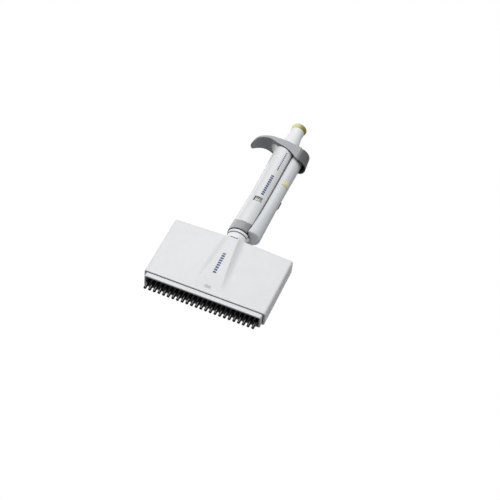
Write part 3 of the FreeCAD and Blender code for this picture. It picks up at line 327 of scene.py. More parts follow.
def clear_plastic(name):
    """Clear window with a faint grey tint and fine hairline scratches."""
    nodes = Nodes(name)
    hairs = nodes.noise(1.2, 6.0, (6.0, 1.0, 0.5))
    nodes.join(nodes.ramp(hairs, 0.03, 0.12, 0.3, 0.7), nodes.shader.inputs["Roughness"])
    nodes.shader.inputs["Base Color"].default_value = (0.93, 0.95, 0.94, 1)
    nodes.shader.inputs["Transmission Weight"].default_value = 0.9
    nodes.shader.inputs["IOR"].default_value = 1.25
    nodes.bump(hairs, 0.04, 0.01)
    rays = nodes.add("ShaderNodeLightPath")
    open_air = nodes.add("ShaderNodeBsdfTransparent")
    choose = nodes.add("ShaderNodeMixShader")
    nodes.join(rays.outputs["Is Shadow Ray"], choose.inputs["Fac"])
    nodes.join(nodes.shader.outputs["BSDF"], choose.inputs[1])
    nodes.join(open_air.outputs["BSDF"], choose.inputs[2])
    nodes.join(choose.outputs["Shader"], nodes.tree.nodes["Material Output"].inputs["Surface"])
    return nodes.material


WHITE = (0.806, 0.810, 0.814)
GREY = (0.42, 0.435, 0.445)
SHADED_GREY = (0.13, 0.138, 0.142)
SHADED_YELLOW = (0.34, 0.32, 0.04)
SHADED_WHITE = (0.12, 0.125, 0.14)
# In each plastic() below, the sixth value sets how dark the painted shade in gaps and joints is;
# lower is darker.
FINISHES = {
    "white_shell": plastic("moulded_white", WHITE, 0.34, 3.0, 0.10, 0.06, shade_reach_mm=2.6),
    "white_strip": plastic("moulded_cool_white", (0.80, 0.81, 0.82), 0.36, 3.0, 0.10, 0.4),
    "grey_shell": plastic("moulded_grey", GREY, 0.5, 4.0, 0.3, 0.03, shade_reach_mm=4.0),
    "black_plastic": plastic("moulded_black", (0.006, 0.006, 0.007), 0.2, 3.0, 0.1, 0.4, 0.8),
    # painted shade: the cap's yellow turns olive from X -3 to 4.5, on its side away from the light
    "yellow_plastic": plastic(
        "moulded_yellow", (0.84, 0.83, 0.42), 0.38, 3.0, 0.12, 0.45, shade_fade=(SHADED_YELLOW, -3.0, 4.5)
    ),
    # painted shade: the white number wheels are given a dark grey, standing in for the shade inside
    # the window
    "number_wheel": plastic("number_wheel_white", (0.34, 0.35, 0.34), 0.45, 3.0, 0.1, 0.3),
    "clear_pane": clear_plastic("clear_window"),
    "inner_plastic": plastic("inner_ivory", (0.66, 0.65, 0.60), 0.42, 2.0, 0.15),
    "aluminium_parts": metal("milled_aluminium", (0.72, 0.73, 0.75), 0.34, (0.08, 1, 1)),
    "steel_parts": metal("turned_steel", (0.58, 0.58, 0.60), 0.24, (1, 1, 0.1)),
    "spring_steel": metal("spring_wire", (0.42, 0.42, 0.44), 0.3, (1, 1, 0.5)),
    "brass_bush": metal("turned_brass", (0.78, 0.60, 0.30), 0.3, (1, 1, 0.12)),
    "seal_rubber": plastic("seal_rubber", (0.02, 0.02, 0.021), 0.7, 5.0, 0.4, 0.5, 0.3),
}

# painted shade in the cover's gaps, lighter than the shell's
COVER_WHITE = plastic("moulded_cover_white", WHITE, 0.34, 3.0, 0.10, 0.45, shade_reach_mm=1.3)
# painted light: a lighter copy of the white plastic
LIT_WHITE = plastic("moulded_white_lit", (0.90, 0.905, 0.91), 0.4, 3.0, 0.10, 0.3)
# painted shadow: the grip darkens to a shaded white beside the rail, from X 7.5 to 8.8, and is
# darkened in its gaps
GRIP_WHITE = plastic(
    "moulded_grip_white", WHITE, 0.34, 3.0, 0.10, 0.2, shade_reach_mm=2.2, shade_fade=(SHADED_WHITE, 7.5, 8.8)
)
# painted shade: a darker copy of the white, with strong painted shade in the seam beside the grip
RAIL_WHITE = plastic(
    "moulded_rail_white", (0.73, 0.75, 0.77), 0.34, 3.0, 0.10, 0.06, shade_reach_mm=2.6
)
# painted light and shade: a lighter copy of the white, darkened strongly in the gap under the ring
RING_WHITE = plastic("moulded_ring_white", (0.90, 0.905, 0.91), 0.4, 3.0, 0.10, 0.02, shade_reach_mm=2.0)
# painted light and shade: a lighter grey that fades to a darker grey from left to right, and is
# darkened in its gaps
COLLAR_GREY = plastic(
    "moulded_collar_grey",
    tinted(GREY, 1.12),
    0.5,
    4.0,
    0.3,
    0.03,
    shade_reach_mm=3.0,
    shade_fade=(tinted(GREY, 0.7), -8.0, 7.5),
)
# painted shade: the key fades to dark grey on its right side, from X 13.5 to 16.5, and is darkened
# strongly in its gaps
KEY_GREY = plastic(
    "moulded_grey_shaded_right", GREY, 0.48, 4.0, 0.3, 0.01, shade_reach_mm=4.0, shade_fade=(SHADED_GREY, 13.5, 16.5)
)
# painted light: a grey lighter than the other grey parts, lifting the shade inside the window's top
FRAME_GREY = plastic("moulded_frame_grey", (0.72, 0.73, 0.73), 0.45, 4.0, 0.2, 0.5, shade_reach_mm=1.0)
MARK_CREAM = plastic("moulded_pale_yellow", (0.80, 0.76, 0.46), 0.4, 3.0, 0.1, 0.7)
INK_BLUE = plastic("printed_blue", (0.05, 0.08, 0.24), 0.45, 6.0, 0.1, 0.8)
INK_GREY = plastic("printed_grey", (0.46, 0.48, 0.50), 0.45, 6.0, 0.1, 0.8)
INK_BLACK = plastic("printed_black", (0.02, 0.02, 0.022), 0.4, 6.0, 0.1, 0.8)


# CAD nodes whose look differs from the rest of their slot
OWN_FINISHES = {
    "volume_mark": MARK_CREAM,
    "window_bezel": FRAME_GREY,
    "grip_front_shell": GRIP_WHITE,
    "grip_rear_shell": GRIP_WHITE,
    "ejector_rail": RAIL_WHITE,
    "transfer_ring": RING_WHITE,
    "ejector_beam": RING_WHITE,
    "lower_collar": COLLAR_GREY,
}


EDGE_BEVEL = 0.12
EDGE_ANGLE = 35


def finish_cad_nodes():
    """Give every CAD node its procedural material and soften its sharp edges."""
    for part in frame["record"]["subparts"]:
        name = part["node"]
        slot = part["material_slot"]
        node = frame["nodes"][name]
        node.data.materials.clear()
        node.data.materials.append(OWN_FINISHES.get(name, FINISHES[slot]))
        weld = node.modifiers.new("weld", "WELD")
        weld.merge_threshold = 1e-6
        soften = node.modifiers.new("soften", "BEVEL")
        soften.width = EDGE_BEVEL * MM
        soften.segments = 2
        soften.limit_method = "ANGLE"
        soften.angle_limit = math.radians(EDGE_ANGLE)
        soften.harden_normals = True


# ------------------------------------------------------------------ head covers

COVER_FILLET = 2.2
COVER_FOOT_ROUNDING = 0.5
COVER_WALL = 1.6
COVER_NECK_HALF = 9.0
COVER_SHOULDER_DROP = 2.2
COVER_OVERHANG = 1.0
JOINT_GROOVE = 0.2
FILLET_STEPS = 7
WALL_STEPS = 72
FLAT_STEP = 2.4
WEDGE_STEP = 0.5
WEDGE_STEPS = 41
# turns round a fillet: a quarter turn ends at 1, and the skin meets the other cover's at 2
FILLET_TURNS = [step / FILLET_STEPS for step in range(1, FILLET_STEPS + 1)] + [1.94, 2.0]
WELL_RADIUS = 10.0
WELL_FLOOR = 68.0
WELL_LEAD_IN = 1.0
WELL_LEAD_DEPTH = 0.25
# the raised wedge at three levels: level, crest's half width, foot's half width, height
WEDGE = (
    (17.0, 12.6, 18.6, 0.0),
    (60.0, 6.6, 14.2, 2.7),
    (82.6, 4.4, 11.6, 3.0),
)
WEDGE_CREASE = 0.05
SLOT_HALF = 3.7
SLOT_LEVELS = (79.55, 80.5)
SLOT_DEPTHS = (10.35, 12.5)
# the cover screws on each side: place along X, level, radius of the shaft's hole
COVER_SCREWS = ((33.75, 16.25, 0.9), (50.0, 66.2, 1.0))
SCREW_HEAD_SEAT = 6.8
SCREW_HEAD_RADIUS = 1.75
SCREW_HEAD_TOP = 7.7
SCREW_MOUTH_RADIUS = 2.05
SCREW_MOUTH = 8.1
BEYOND_COVER = 9.5


def through_three(points, at):
    """The parabola through three (position, value) points."""
    (a, p), (b, q), (c, r) = points
    return (
        p * (at - b) * (at - c) / ((a - b) * (a - c))
        + q * (at - a) * (at - c) / ((b - a) * (b - c))
        + r * (at - a) * (at - b) / ((c - a) * (c - b))
    )


def soft_start(value, softness):
    """0 below zero and value above it, with the corner between them rounded."""
    if value <= -softness:
        return 0.0
    if value >= softness:
        return value
    return (value + softness) ** 2 / (4 * softness)


def wedge_height(x, level):
    """How far the wedge stands above the flat of the cover."""
    crest, foot, full = (
        through_three([(row[0], row[part]) for row in WEDGE], level) for part in (1, 2, 3)
    )
    if level <= WEDGE[0][0]:
        return 0.0
    down = min(soft_start((abs(x) - crest) / (foot - crest), WEDGE_CREASE), 1.0)
    return full * (1 - down) ** 2


def cover_columns(half_flat):
    """(place along X, turn round the side fillet) of every column of the cover's skin."""
    flat = [-half_flat + step * FLAT_STEP for step in range(15)]
    middle = [step * WEDGE_STEP for step in range(-WEDGE_STEPS, WEDGE_STEPS + 1)]
    places = flat + middle + [-x for x in reversed(flat)]
    left = [(-half_flat, -share) for share in reversed(FILLET_TURNS)]
    right = [(half_flat, share) for share in FILLET_TURNS]
    return left + [(x, 0.0) for x in places] + right


def cover_rows():
    """(share of the height, turn round the top fillet, turn round the foot) of every row."""
    foot = [(0.0, 0.0, share) for share in (1.0, 0.66, 0.33)]
    wall = [(step / WALL_STEPS, 0.0, 0.0) for step in range(WALL_STEPS + 1)]
    return foot + wall + [(1.0, share, 0.0) for share in FILLET_TURNS]


def cover_point(column, row, side, size):
    """A point of a cover's skin; the fillet round it is part of a sphere at the corners."""
    half_width, half_depth, low, peak = size
    x, across = column
    share, up, foot = row
    radius = COVER_FILLET
    slope = COVER_SHOULDER_DROP / (half_width - COVER_NECK_HALF)
    top = peak - radius - max(0.0, abs(x) - COVER_NECK_HALF) * slope
    base = low + COVER_FOOT_ROUNDING
    level = base + share * (top - base)
    reach = max(abs(across), up)
    angle = min(reach, 1.0) * math.pi / 2
    wall = max(reach - 1.0, 0.0)
    if reach == 0:
        heading = 0.0
    elif abs(across) >= up:
        heading = math.pi / 4 * up / abs(across)
    else:
        heading = math.pi / 2 - math.pi / 4 * abs(across) / up
    out_x = math.copysign(math.sin(angle) * math.cos(heading), across) if across else 0.0
    out_z = math.sin(angle) * math.sin(heading)
    body = half_depth - radius + wedge_height(x, level)
    depth = body * (1 - wall) if wall else body + radius * math.cos(angle)
    inset = JOINT_GROOVE if wall == 1.0 else 0.0
    tuck = COVER_FOOT_ROUNDING * (1 - math.cos(foot * math.pi / 2))
    drop = COVER_FOOT_ROUNDING * math.sin(foot * math.pi / 2)
    return (
        x + out_x * (radius - inset - tuck),
        side * (depth - tuck * (math.cos(angle) if not wall else 0.0)),
        level - drop + out_z * (radius - inset),
    )


def cover_skin(name, side, size):
    """Solid half of the housing, before it is hollowed."""
    columns = cover_columns(size[0] - COVER_FILLET)
    rows = cover_rows()
    wide = len(columns)
    vertices = [cover_point(column, row, side, size) for row in rows for column in columns]
    faces = []
    for j in range(len(rows) - 1):
        for i in range(wide - 1):
            corner = j * wide + i
            faces.append((corner, corner + 1, corner + wide + 1, corner + wide))
    last = len(rows) - 1
    foot = list(range(wide))
    left = [j * wide for j in range(last)]
    top = [last * wide + i for i in range(wide)]
    right = [j * wide + wide - 1 for j in range(last - 1, -1, -1)]
    faces.append(foot)
    faces.append(left + top + right)
    return mesh_object(name, vertices, faces)


def screw_bore(x, level, hole):
    """The stepped hole of a rear cover's screw, laid along Y from inside to outside."""
    outline = [
        (0, -1),
        (hole, -1),
        (hole, SCREW_HEAD_SEAT),
        (SCREW_HEAD_RADIUS, SCREW_HEAD_SEAT),
        (SCREW_HEAD_RADIUS, SCREW_HEAD_TOP),
        (SCREW_MOUTH_RADIUS, SCREW_MOUTH),
        (SCREW_MOUTH_RADIUS, BEYOND_COVER),
        (0, BEYOND_COVER),
    ]
    tool = turned("screw_bore", outline, 40)
    turn = Matrix.Rotation(-math.pi / 2, 4, "X")
    tool.data.transform(Matrix.Translation((x * MM, 0, level * MM)) @ turn)
    return tool


def head_cover(name, side):
    """One finished cover: hollow, with its well and its screw holes or slot."""
    low, high = span(name)
    depth = span("ejector_strip")[1].y + COVER_OVERHANG
    size = (high.x, depth, low.z, high.z)
    cover = cover_skin(name + "_skin", side, size)
    inner_x = high.x - COVER_WALL
    inner_y = depth - COVER_WALL
    ceiling = high.z - COVER_SHOULDER_DROP - COVER_WALL
    cut(cover, block("cavity", (-inner_x, -inner_y, 0), (inner_x, inner_y, ceiling)))
    well = rounded(
        [
            (0, WELL_FLOOR, 0),
            (WELL_RADIUS, WELL_FLOOR, 0),
            (WELL_RADIUS, high.z - WELL_LEAD_DEPTH, 0),
            (WELL_RADIUS + WELL_LEAD_IN, high.z + WELL_LEAD_IN - WELL_LEAD_DEPTH, 0),
            (0, high.z + WELL_LEAD_IN - WELL_LEAD_DEPTH, 0),
        ]
    )
    cut(cover, turned("well", well, 96))
    if side > 0:
        for x, level, hole in COVER_SCREWS:
            for place in (-x, x):
                cut(cover, screw_bore(place, level, hole))
    else:
        slot_low = (-SLOT_HALF, -SLOT_DEPTHS[1], SLOT_LEVELS[0])
        slot_high = (SLOT_HALF, -SLOT_DEPTHS[0], SLOT_LEVELS[1])
        cut(cover, block("slot", slot_low, slot_high))
    shade(cover, 24)
    return cover


def head_covers():
    """Both covers of the head."""
    for name, side in (("head_front_cover", -1), ("head_rear_cover", 1)):
        cover = head_cover(name, side)
        fit_piece(cover, "head", COVER_WHITE, (name,))


# ---------------------------------------------------------------- ejector strip

STRIP_WALL = 1.5
STRIP_CORNER = 1.7
STRIP_FOOT_FILLET = 0.5
STRIP_TOP_FILLET = 0.35
STRIP_INNER_FILLET = 0.2


def plan_outline(half_x, half_y, radius, arc_steps=8):
    """Points round a rounded rectangle, each with its outward direction."""
    points = []
    for sign_x, sign_y, start in ((1, 1, 0), (-1, 1, 1), (-1, -1, 2), (1, -1, 3)):
        for step in range(arc_steps + 1):
            angle = (start + step / arc_steps) * math.pi / 2
            out = Vector((math.cos(angle), math.sin(angle)))
            centre = Vector((sign_x * (half_x - radius), sign_y * (half_y - radius)))
            points.append((centre + out * radius, out))
    return points


def ejector_strip():
    """White skirt with rounded edges and corners."""
    low, high = span("ejector_strip")
    section = rounded(
        [
            (0, low.z, STRIP_FOOT_FILLET),
            (0, high.z, STRIP_TOP_FILLET),
            (STRIP_WALL, high.z, STRIP_INNER_FILLET),
            (STRIP_WALL, low.z, STRIP_INNER_FILLET),
        ]
    )
    path = plan_outline(high.x, high.y, STRIP_CORNER)
    vertices = []
    for point, out in path:
        for inset, level in section:
            vertices.append((point.x - out.x * inset, point.y - out.y * inset, level))
    strip = mesh_object("ejector_skirt", vertices, loop_faces(len(path), len(section)))
    shade(strip, 40)
    fit_piece(strip, "ejector_frame", FINISHES["white_strip"], ("ejector_strip",))


# --------------------------------------------------------------------- cones


CHANNELS = 24
PITCH = 4.5
CONE_BORE = 0.5
CONE_END = 1.35
CONE_NECK = 1.45
CONE_GROOVE = 1.33
CONE_SHOULDER = 1.5
CONE_ROOT = 1.58
CONE_SHANK = 1.65
SPIGOT = 1.2
SPIGOT_LENGTH = 3.0


def tip_cones():
    """The row of nozzles, each with a rounded end, a sealing groove and a flared root."""
    top = span("tip_cones")[1].z
    seat = top - SPIGOT_LENGTH
    outline = rounded(
        [
            (CONE_BORE, 0.0, 0.1),
            (CONE_END, 0.0, 0.3),
            (CONE_NECK, 1.1, 0),
            (CONE_NECK, 1.5, 0),
            (CONE_GROOVE, 1.6, 0),
            (CONE_GROOVE, 2.1, 0),
            (CONE_NECK, 2.2, 0),
            (CONE_SHOULDER, 4.4, 0.6),
            (CONE_ROOT, 8.0, 0.3),
            (CONE_SHANK, 8.4, 0),
            (CONE_SHANK, seat, 0.1),
            (SPIGOT, seat, 0.1),
            (SPIGOT, top, 0.15),
            (CONE_BORE, top, 0.05),
        ],
        4,
    )
    first = turned("cone", outline, 36)
    shade(first, 35)
    shape = bmesh.new()
    for channel in range(CHANNELS):
        copy = first.data.copy()
        shift = (channel - (CHANNELS - 1) / 2) * PITCH
        copy.transform(Matrix.Translation((shift * MM, 0, 0)))
        shape.from_mesh(copy)
        bpy.data.meshes.remove(copy)
    shape.to_mesh(first.data)
    shape.free()
    first.name = "nozzle_cones"
    shade(first, 35)
    fit_piece(first, "head", FINISHES["black_plastic"], ("tip_cones",))


# ------------------------------------------------------------- button and cap


def smooth_run(points, steps=6):
    """A Catmull-Rom curve through (radius, level) points."""
    run = []
    padded = [points[0], *points, points[-1]]
    for index in range(1, len(padded) - 2):
        a, b, c, d = (Vector(padded[index + k]) for k in (-1, 0, 1, 2))
        for step in range(steps):
            s = step / steps
            run.append(
                (
                    2 * b
                    + (c - a) * s
                    + (2 * a - 5 * b + 4 * c - d) * s * s
                    + (3 * b - a - 3 * c + d) * s**3
                )
                / 2
            )
    run.append(Vector(points[-1]))
    return run


SKIRT_WALL = 1.3
SKIRT_TOP = 214.0
STEM_WAIST = 233.5
STEM_BORE = 2.05
STEM_FOOT = 229.0
NUT_BORE = 4.0
NUT_FOOT = 223.0
SKIRT_BORE = 6.5
SKIRT_CEILING = 218.0


def control_button():
    """White button: a skirt that flows into a waisted stem."""
    low, high = span("control_button")
    skirt = high.x
    side = smooth_run(
        [
            (skirt, SKIRT_TOP),
            (skirt - 0.15, 217.5),
            (skirt - 0.6, 222.0),
            (skirt - 1.5, 227.5),
            (skirt - 2.2, STEM_WAIST),
            (skirt - 2.0, high.z - 0.4),
        ]
    )
    outline = [
        Vector((skirt - SKIRT_WALL, low.z)),
        Vector((skirt - 0.35, low.z)),
        Vector((skirt - 0.1, low.z + 0.1)),
        Vector((skirt, low.z + 0.35)),
        *side,
        Vector((skirt - 2.25, high.z)),
        Vector((STEM_BORE, high.z)),
        Vector((STEM_BORE, STEM_FOOT)),
        Vector((NUT_BORE, STEM_FOOT)),
        Vector((NUT_BORE, NUT_FOOT)),
        Vector((SKIRT_BORE, SKIRT_CEILING)),
        Vector((skirt - SKIRT_WALL, SKIRT_TOP + 0.5)),
    ]
    button = turned("button_shell", outline, 160)
    shade(button, 35)
    fit_piece(button, "dial", LIT_WHITE, ("control_button",))


def button_cap():
    """Coloured cap that flares from the stem and is dished on top."""
    low, high = span("button_cap")
    stem = span("control_button")[1].x - 2.1
    edge = high.x
    outline = rounded(
        [
            (0.0, low.z, 0),
            (stem, low.z, 0.1),
            (edge - 0.45, low.z + 2.0, 1.5),
            (edge, high.z - 0.4, 1.1),
            (edge - 1.9, high.z - 0.05, 0.8),
            (edge - 2.6, high.z - 0.9, 1.2),
            (0.0, high.z - 1.3, 0),
        ],
        6,
    )
    cap = turned("button_top", outline, 160)
    shade(cap, 35)
    fit_piece(cap, "dial", FINISHES["yellow_plastic"], ("button_cap",))


# --------------------------------------------------------- soft-edged grey parts


SOFT_CELL = 0.2
SOFT_ROUNDS = 4


def softened(node, name):
    """A copy of a CAD node rebuilt in small cells and relaxed, so that its edges are rounded."""
    source = frame["nodes"][node]
    thing = bpy.data.objects.new(name, source.data.copy())
    thing.data.materials.clear()
    bpy.context.scene.collection.objects.link(thing)
    recalculate(thing)
    remesh = thing.modifiers.new("remesh", "REMESH")
    remesh.mode = "VOXEL"
    remesh.voxel_size = SOFT_CELL * MM
    relax = thing.modifiers.new("relax", "SMOOTH")
    relax.factor = 0.5
    relax.iterations = SOFT_ROUNDS
    apply_modifiers(thing)
    shade(thing, 60)
    return thing


def grey_parts():
    """Finger collar with its hook, and the ejector key beside it."""
    grey = FINISHES["grey_shell"]
    collar = softened("finger_collar", "finger_rest")
    fit_piece(collar, "handle", grey, ("finger_collar",))
    key = softened("ejector_key", "thumb_key")
    fit_piece(key, "ejector", KEY_GREY, ("ejector_key",))


# --------------------------------------------------------------------- counter


DIGIT_HEIGHT = 1.9
DIGIT_RAISE = 0.04


def number_ring(name, body, wheel, shown):
    """The ten digits round one number wheel, slightly raised, with one of them in front."""
    low, high = span(wheel)
    radius = high.x
    middle = (low.z + high.z) / 2
    shape = bmesh.new()
    for digit in range(10):
        text = bpy.data.curves.new("digit", "FONT")
        text.body = str(digit)
        text.size = DIGIT_HEIGHT * MM
        text.extrude = DIGIT_RAISE * MM
        text.resolution_u = 4
        text.align_x = "CENTER"
        text.align_y = "CENTER"
        glyph = bpy.data.objects.new("digit", text)
        bpy.context.scene.collection.objects.link(glyph)
        graph = bpy.context.evaluated_depsgraph_get()
        mesh = bpy.data.meshes.new_from_object(glyph.evaluated_get(graph))
        centre = -math.pi / 2 + (digit - shown) * math.pi / 5
        for vertex in mesh.vertices:
            angle = centre + vertex.co.x / (radius * MM)
            out = radius * MM + vertex.co.z
            place = (out * math.cos(angle), out * math.sin(angle), middle * MM + vertex.co.y)
            vertex.co = place
        shape.from_mesh(mesh)
        bpy.data.objects.remove(glyph)
        bpy.data.curves.remove(text)
        bpy.data.meshes.remove(mesh)
    mesh = bpy.data.meshes.new(name)
    bmesh.ops.remove_doubles(shape, verts=shape.verts, dist=1e-7)
    shape.to_mesh(mesh)
    shape.free()
    ring = bpy.data.objects.new(name, mesh)
    bpy.context.scene.collection.objects.link(ring)
    fit_piece(ring, body, INK_BLACK)


def number_rings():
    """Digits of all three wheels."""
    for name, body, wheel, shown in (
        ("digits_low", "low_wheel", "counter_wheel_low", 0),
        ("digits_middle", "middle_wheel", "counter_wheel_middle", 2),
        ("digits_high", "high_wheel", "counter_wheel_high", 1),
    ):
        number_ring(name, body, wheel, shown)


# --------------------------------------------------------------------- springs


SIDES_OF_WIRE = 14
STEPS_PER_TURN = 40
CLOSED_TURNS = 1.0
CLOSED_PITCH = 2.04
CARRIAGE_COIL = (1.75, 0.28, 7)
BUTTON_TRAVEL = 14.0
EJECTOR_TRAVEL = 5.5


def spring(node, name, body, centre, coil):
    """A compression spring with closed ends: coil is its radius, wire radius and turns."""
    low, high = span(node)
    x, y = centre
    radius, wire, turns = coil
    length = high.z - low.z - 2 * wire
    total = turns + 2 * CLOSED_TURNS
    end_rise = CLOSED_PITCH * wire * CLOSED_TURNS
    vertices = []
    faces = []
    rings = int(total * STEPS_PER_TURN)
    for ring in range(rings + 1):
        at = ring / STEPS_PER_TURN
        angle = 2 * math.pi * at
        if at < CLOSED_TURNS:
            level = end_rise * at / CLOSED_TURNS
        elif at > total - CLOSED_TURNS:
            level = length - end_rise * (total - at) / CLOSED_TURNS
        else:
            level = end_rise + (length - 2 * end_rise) * (at - CLOSED_TURNS) / turns
        for side in range(SIDES_OF_WIRE):
            spin = 2 * math.pi * side / SIDES_OF_WIRE
            out = radius + wire * math.cos(spin)
            vertices.append(
                (
                    x + out * math.cos(angle),
                    y + out * math.sin(angle),
                    low.z + wire + level + wire * math.sin(spin),
                )
            )
    for ring in range(rings):
        for side in range(SIDES_OF_WIRE):
            following = (side + 1) % SIDES_OF_WIRE
            here = ring * SIDES_OF_WIRE
            there = here + SIDES_OF_WIRE
            faces.append((here + side, here + following, there + following, there + side))
    faces.append(tuple(range(SIDES_OF_WIRE)))
    faces.append(tuple(rings * SIDES_OF_WIRE + side for side in range(SIDES_OF_WIRE)))
    thing = mesh_object(name, vertices, faces)
    shade(thing, 50)
    return fit_piece(thing, body, FINISHES["spring_steel"])


def shorten(thing):
    """Give a spring its own copy of its mesh."""
    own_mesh(thing)


def springs():
    """Springs of the carriage, the plunger, the ejector and the blow-out stage."""
    node = "carriage_springs"
    corner = span(node)[1]
    reach = CARRIAGE_COIL[0] + CARRIAGE_COIL[1]
    for side, name in ((-1, "carriage_spring_left"), (1, "carriage_spring_right")):
        centre = (side * (corner.x - reach), corner.y - reach)
        thing = spring(node, name, "head", centre, CARRIAGE_COIL)
        shorten(thing)
        if side < 0:
            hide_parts(node)
    for node, name, joint, coil, travel in (
        ("return_spring", "plunger_return_spring", "button_press", (5.2, 0.5, 7), BUTTON_TRAVEL),
        ("ejector_spring", "ejector_return_spring", "ejector_press", (2.2, 0.35, 10), EJECTOR_TRAVEL),
        ("blowout_spring", "blowout_stage_spring", "", (5.2, 0.6, 3.5), 0.0),
    ):
        low, high = span(node)
        centre = ((low.x + high.x) / 2, 0.0)
        thing = spring(node, name, "handle", centre, coil)
        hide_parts(node)
        if joint:
            shorten(thing)


# --------------------------------------------------------------- printed marks


INK_TOP = 0.035
INK_BOTTOM = -0.05
INK_CORNER = 0.35
INK_COLUMNS = 6
SHORTEST_DASH = 0.2
IN_FRONT = -40
# name, ink, centre along X, lowest and highest level, width, length of a dash, gap
GRIP_MARKS = (
    ("grip_mark_wide", INK_BLUE, 2.5, 140.5, 167.5, 2.7, 2.0, 0.8),
    ("grip_mark_narrow", INK_BLUE, 3.7, 175.5, 200.0, 1.1, 1.6, 0.7),
)
HEAD_MARKS = (
    ("head_mark_wide", INK_BLUE, -0.6, 35.5, 59.5, 3.1, 2.0, 0.8),
    ("head_mark_small", INK_GREY, 0.0, 18.4, 20.9, 6.2, 1.0, 0.5),
)


def dash_vertices(tree, centre, start, end, width):
    """Points of one dash, top and bottom layer row by row, and its number of rows."""
    corner = min(INK_CORNER, width / 2.5)
    rows = [0.0, 0.3 * corner, corner]
    steps = max(2, round(end - start))
    inner = [corner + (end - start - 2 * corner) * k / steps for k in range(1, steps)]
    places = rows + inner + [end - start - r for r in reversed(rows)]
    vertices = []
    for place in places:
        from_end = min(place, end - start - place)
        pull = corner - math.sqrt(max(0.0, corner**2 - max(0.0, corner - from_end) ** 2))
        half = width / 2 - pull
        for layer in (INK_TOP, INK_BOTTOM):
            for column in range(INK_COLUMNS + 1):
                x = centre + half * (2 * column / INK_COLUMNS - 1)
                origin = Vector((x, IN_FRONT, start + place)) * MM
                spot, normal, _, _ = tree.ray_cast(origin, Vector((0, 1, 0)))
                vertices.append((spot + normal * layer * MM) / MM)
    return vertices, len(places)


def dash_faces(first, rows):
    """Faces that close the two layers of one dash."""
    line = INK_COLUMNS + 1
    faces = []
    for row in range(rows - 1):
        here = first + row * 2 * line
        there = here + 2 * line
        for column in range(INK_COLUMNS):
            a = here + column
            b = there + column
            faces.append((a, a + 1, b + 1, b))
            faces.append((a + line, b + line, b + line + 1, a + line + 1))
        for edge in (0, INK_COLUMNS):
            faces.append((here + edge, there + edge, there + line + edge, here + line + edge))
    for row in (0, rows - 1):
        here = first + row * 2 * line
        for a in range(here, here + INK_COLUMNS):
            faces.append((a, a + 1, a + line + 1, a + line))
    return faces


def printed_marks(surface, body, mark):
    """A column of short printed dashes that follow the surface they are printed on."""
    name, ink, centre, start, top, width, dash, gap = mark
    tree = BVHTree.FromObject(surface, bpy.context.evaluated_depsgraph_get())
    vertices = []
    faces = []
    while start < top - SHORTEST_DASH:
        end = min(start + dash, top)
        points, rows = dash_vertices(tree, centre, start, end, width)
        faces += dash_faces(len(vertices), rows)
        vertices += points
        start = end + gap
    marks = mesh_object(name, vertices, faces)
    shade(marks, 50)
    marks.data.materials.append(ink)
    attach(marks, body)


def all_printed_marks():
    """Plain blue and grey dashes on the grip and on the wedge."""
    for mark in GRIP_MARKS:
        printed_marks(frame["nodes"]["grip_front_shell"], "handle", mark)
    for mark in HEAD_MARKS:
        printed_marks(bpy.data.objects["head_front_cover_skin"], "head", mark)


# ----------------------------------------------------------------------- stage

VIEW_AZIMUTH = math.radians(14.623)
VIEW_ELEVATION = math.radians(-37.988)
VIEW_ROLL = math.radians(29.055)
VIEW_DISTANCE = 1391.78
VIEW_AIM_RIGHT = 45.546
VIEW_AIM_UP = 50.967
LENS = 114.09
FILL_TINT = (0.975, 0.985, 1.0, 1)
# strength of the fill light from above and from below, and the directions' heights between
# which it changes
FILL_ABOVE = 0.43
FILL_BELOW = 0.17
FILL_TOP = 0.1
FILL_BOTTOM = -0.7
LIGHT_AIM = Vector((0, 0, 0.11))
# name, place, width and power of each softbox
SOFTBOXES = (
    ("key_softbox", (-0.32, -1.17, 0.56), 1.05, 12.0),
    ("rear_softbox", (-0.3, 1.3, 0.9), 0.9, 5),
    ("left_softbox", (-1.05, 0.25, 0.8), 0.5, 1.9),
)
FLOOR_HALF = 3000
FLOOR_TOP = -2
FLOOR_THICKNESS = 10
FLOOR_GLOW = 0.24


def make_camera():
    """Camera below and in front of the head, rolled so that the grip leans right."""
    back = Vector(
        (
            math.sin(VIEW_AZIMUTH) * math.cos(VIEW_ELEVATION),
            -math.cos(VIEW_AZIMUTH) * math.cos(VIEW_ELEVATION),
            math.sin(VIEW_ELEVATION),
        )
    )
    level_right = Vector((0, 0, 1)).cross(back).normalized()
    level_up = back.cross(level_right)
    right = level_right * math.cos(VIEW_ROLL) + level_up * math.sin(VIEW_ROLL)
    up = level_up * math.cos(VIEW_ROLL) - level_right * math.sin(VIEW_ROLL)
    place = (right * VIEW_AIM_RIGHT + up * VIEW_AIM_UP + back * VIEW_DISTANCE) * MM
    camera = bpy.data.objects.new("camera", bpy.data.cameras.new("camera"))
    camera.data.lens = LENS
    camera.data.clip_start = 0.05
    camera.data.clip_end = 50
    camera.matrix_world = Matrix(
        (
            (right.x, up.x, back.x, place.x),
            (right.y, up.y, back.y, place.y),
            (right.z, up.z, back.z, place.z),
            (0, 0, 0, 1),
        )
    )
    bpy.context.scene.collection.objects.link(camera)
    bpy.context.scene.camera = camera


def area_light(name, place, size, power):
    """A square softbox aimed at the middle of the pipette."""
    light = bpy.data.objects.new(name, bpy.data.lights.new(name, "AREA"))
    light.data.size = size
    light.data.energy = power
    light.location = place
    aim = LIGHT_AIM - Vector(place)
    light.rotation_mode = "QUATERNION"
    light.rotation_quaternion = aim.to_track_quat("-Z", "Y")
    light.visible_camera = False
    bpy.context.scene.collection.objects.link(light)


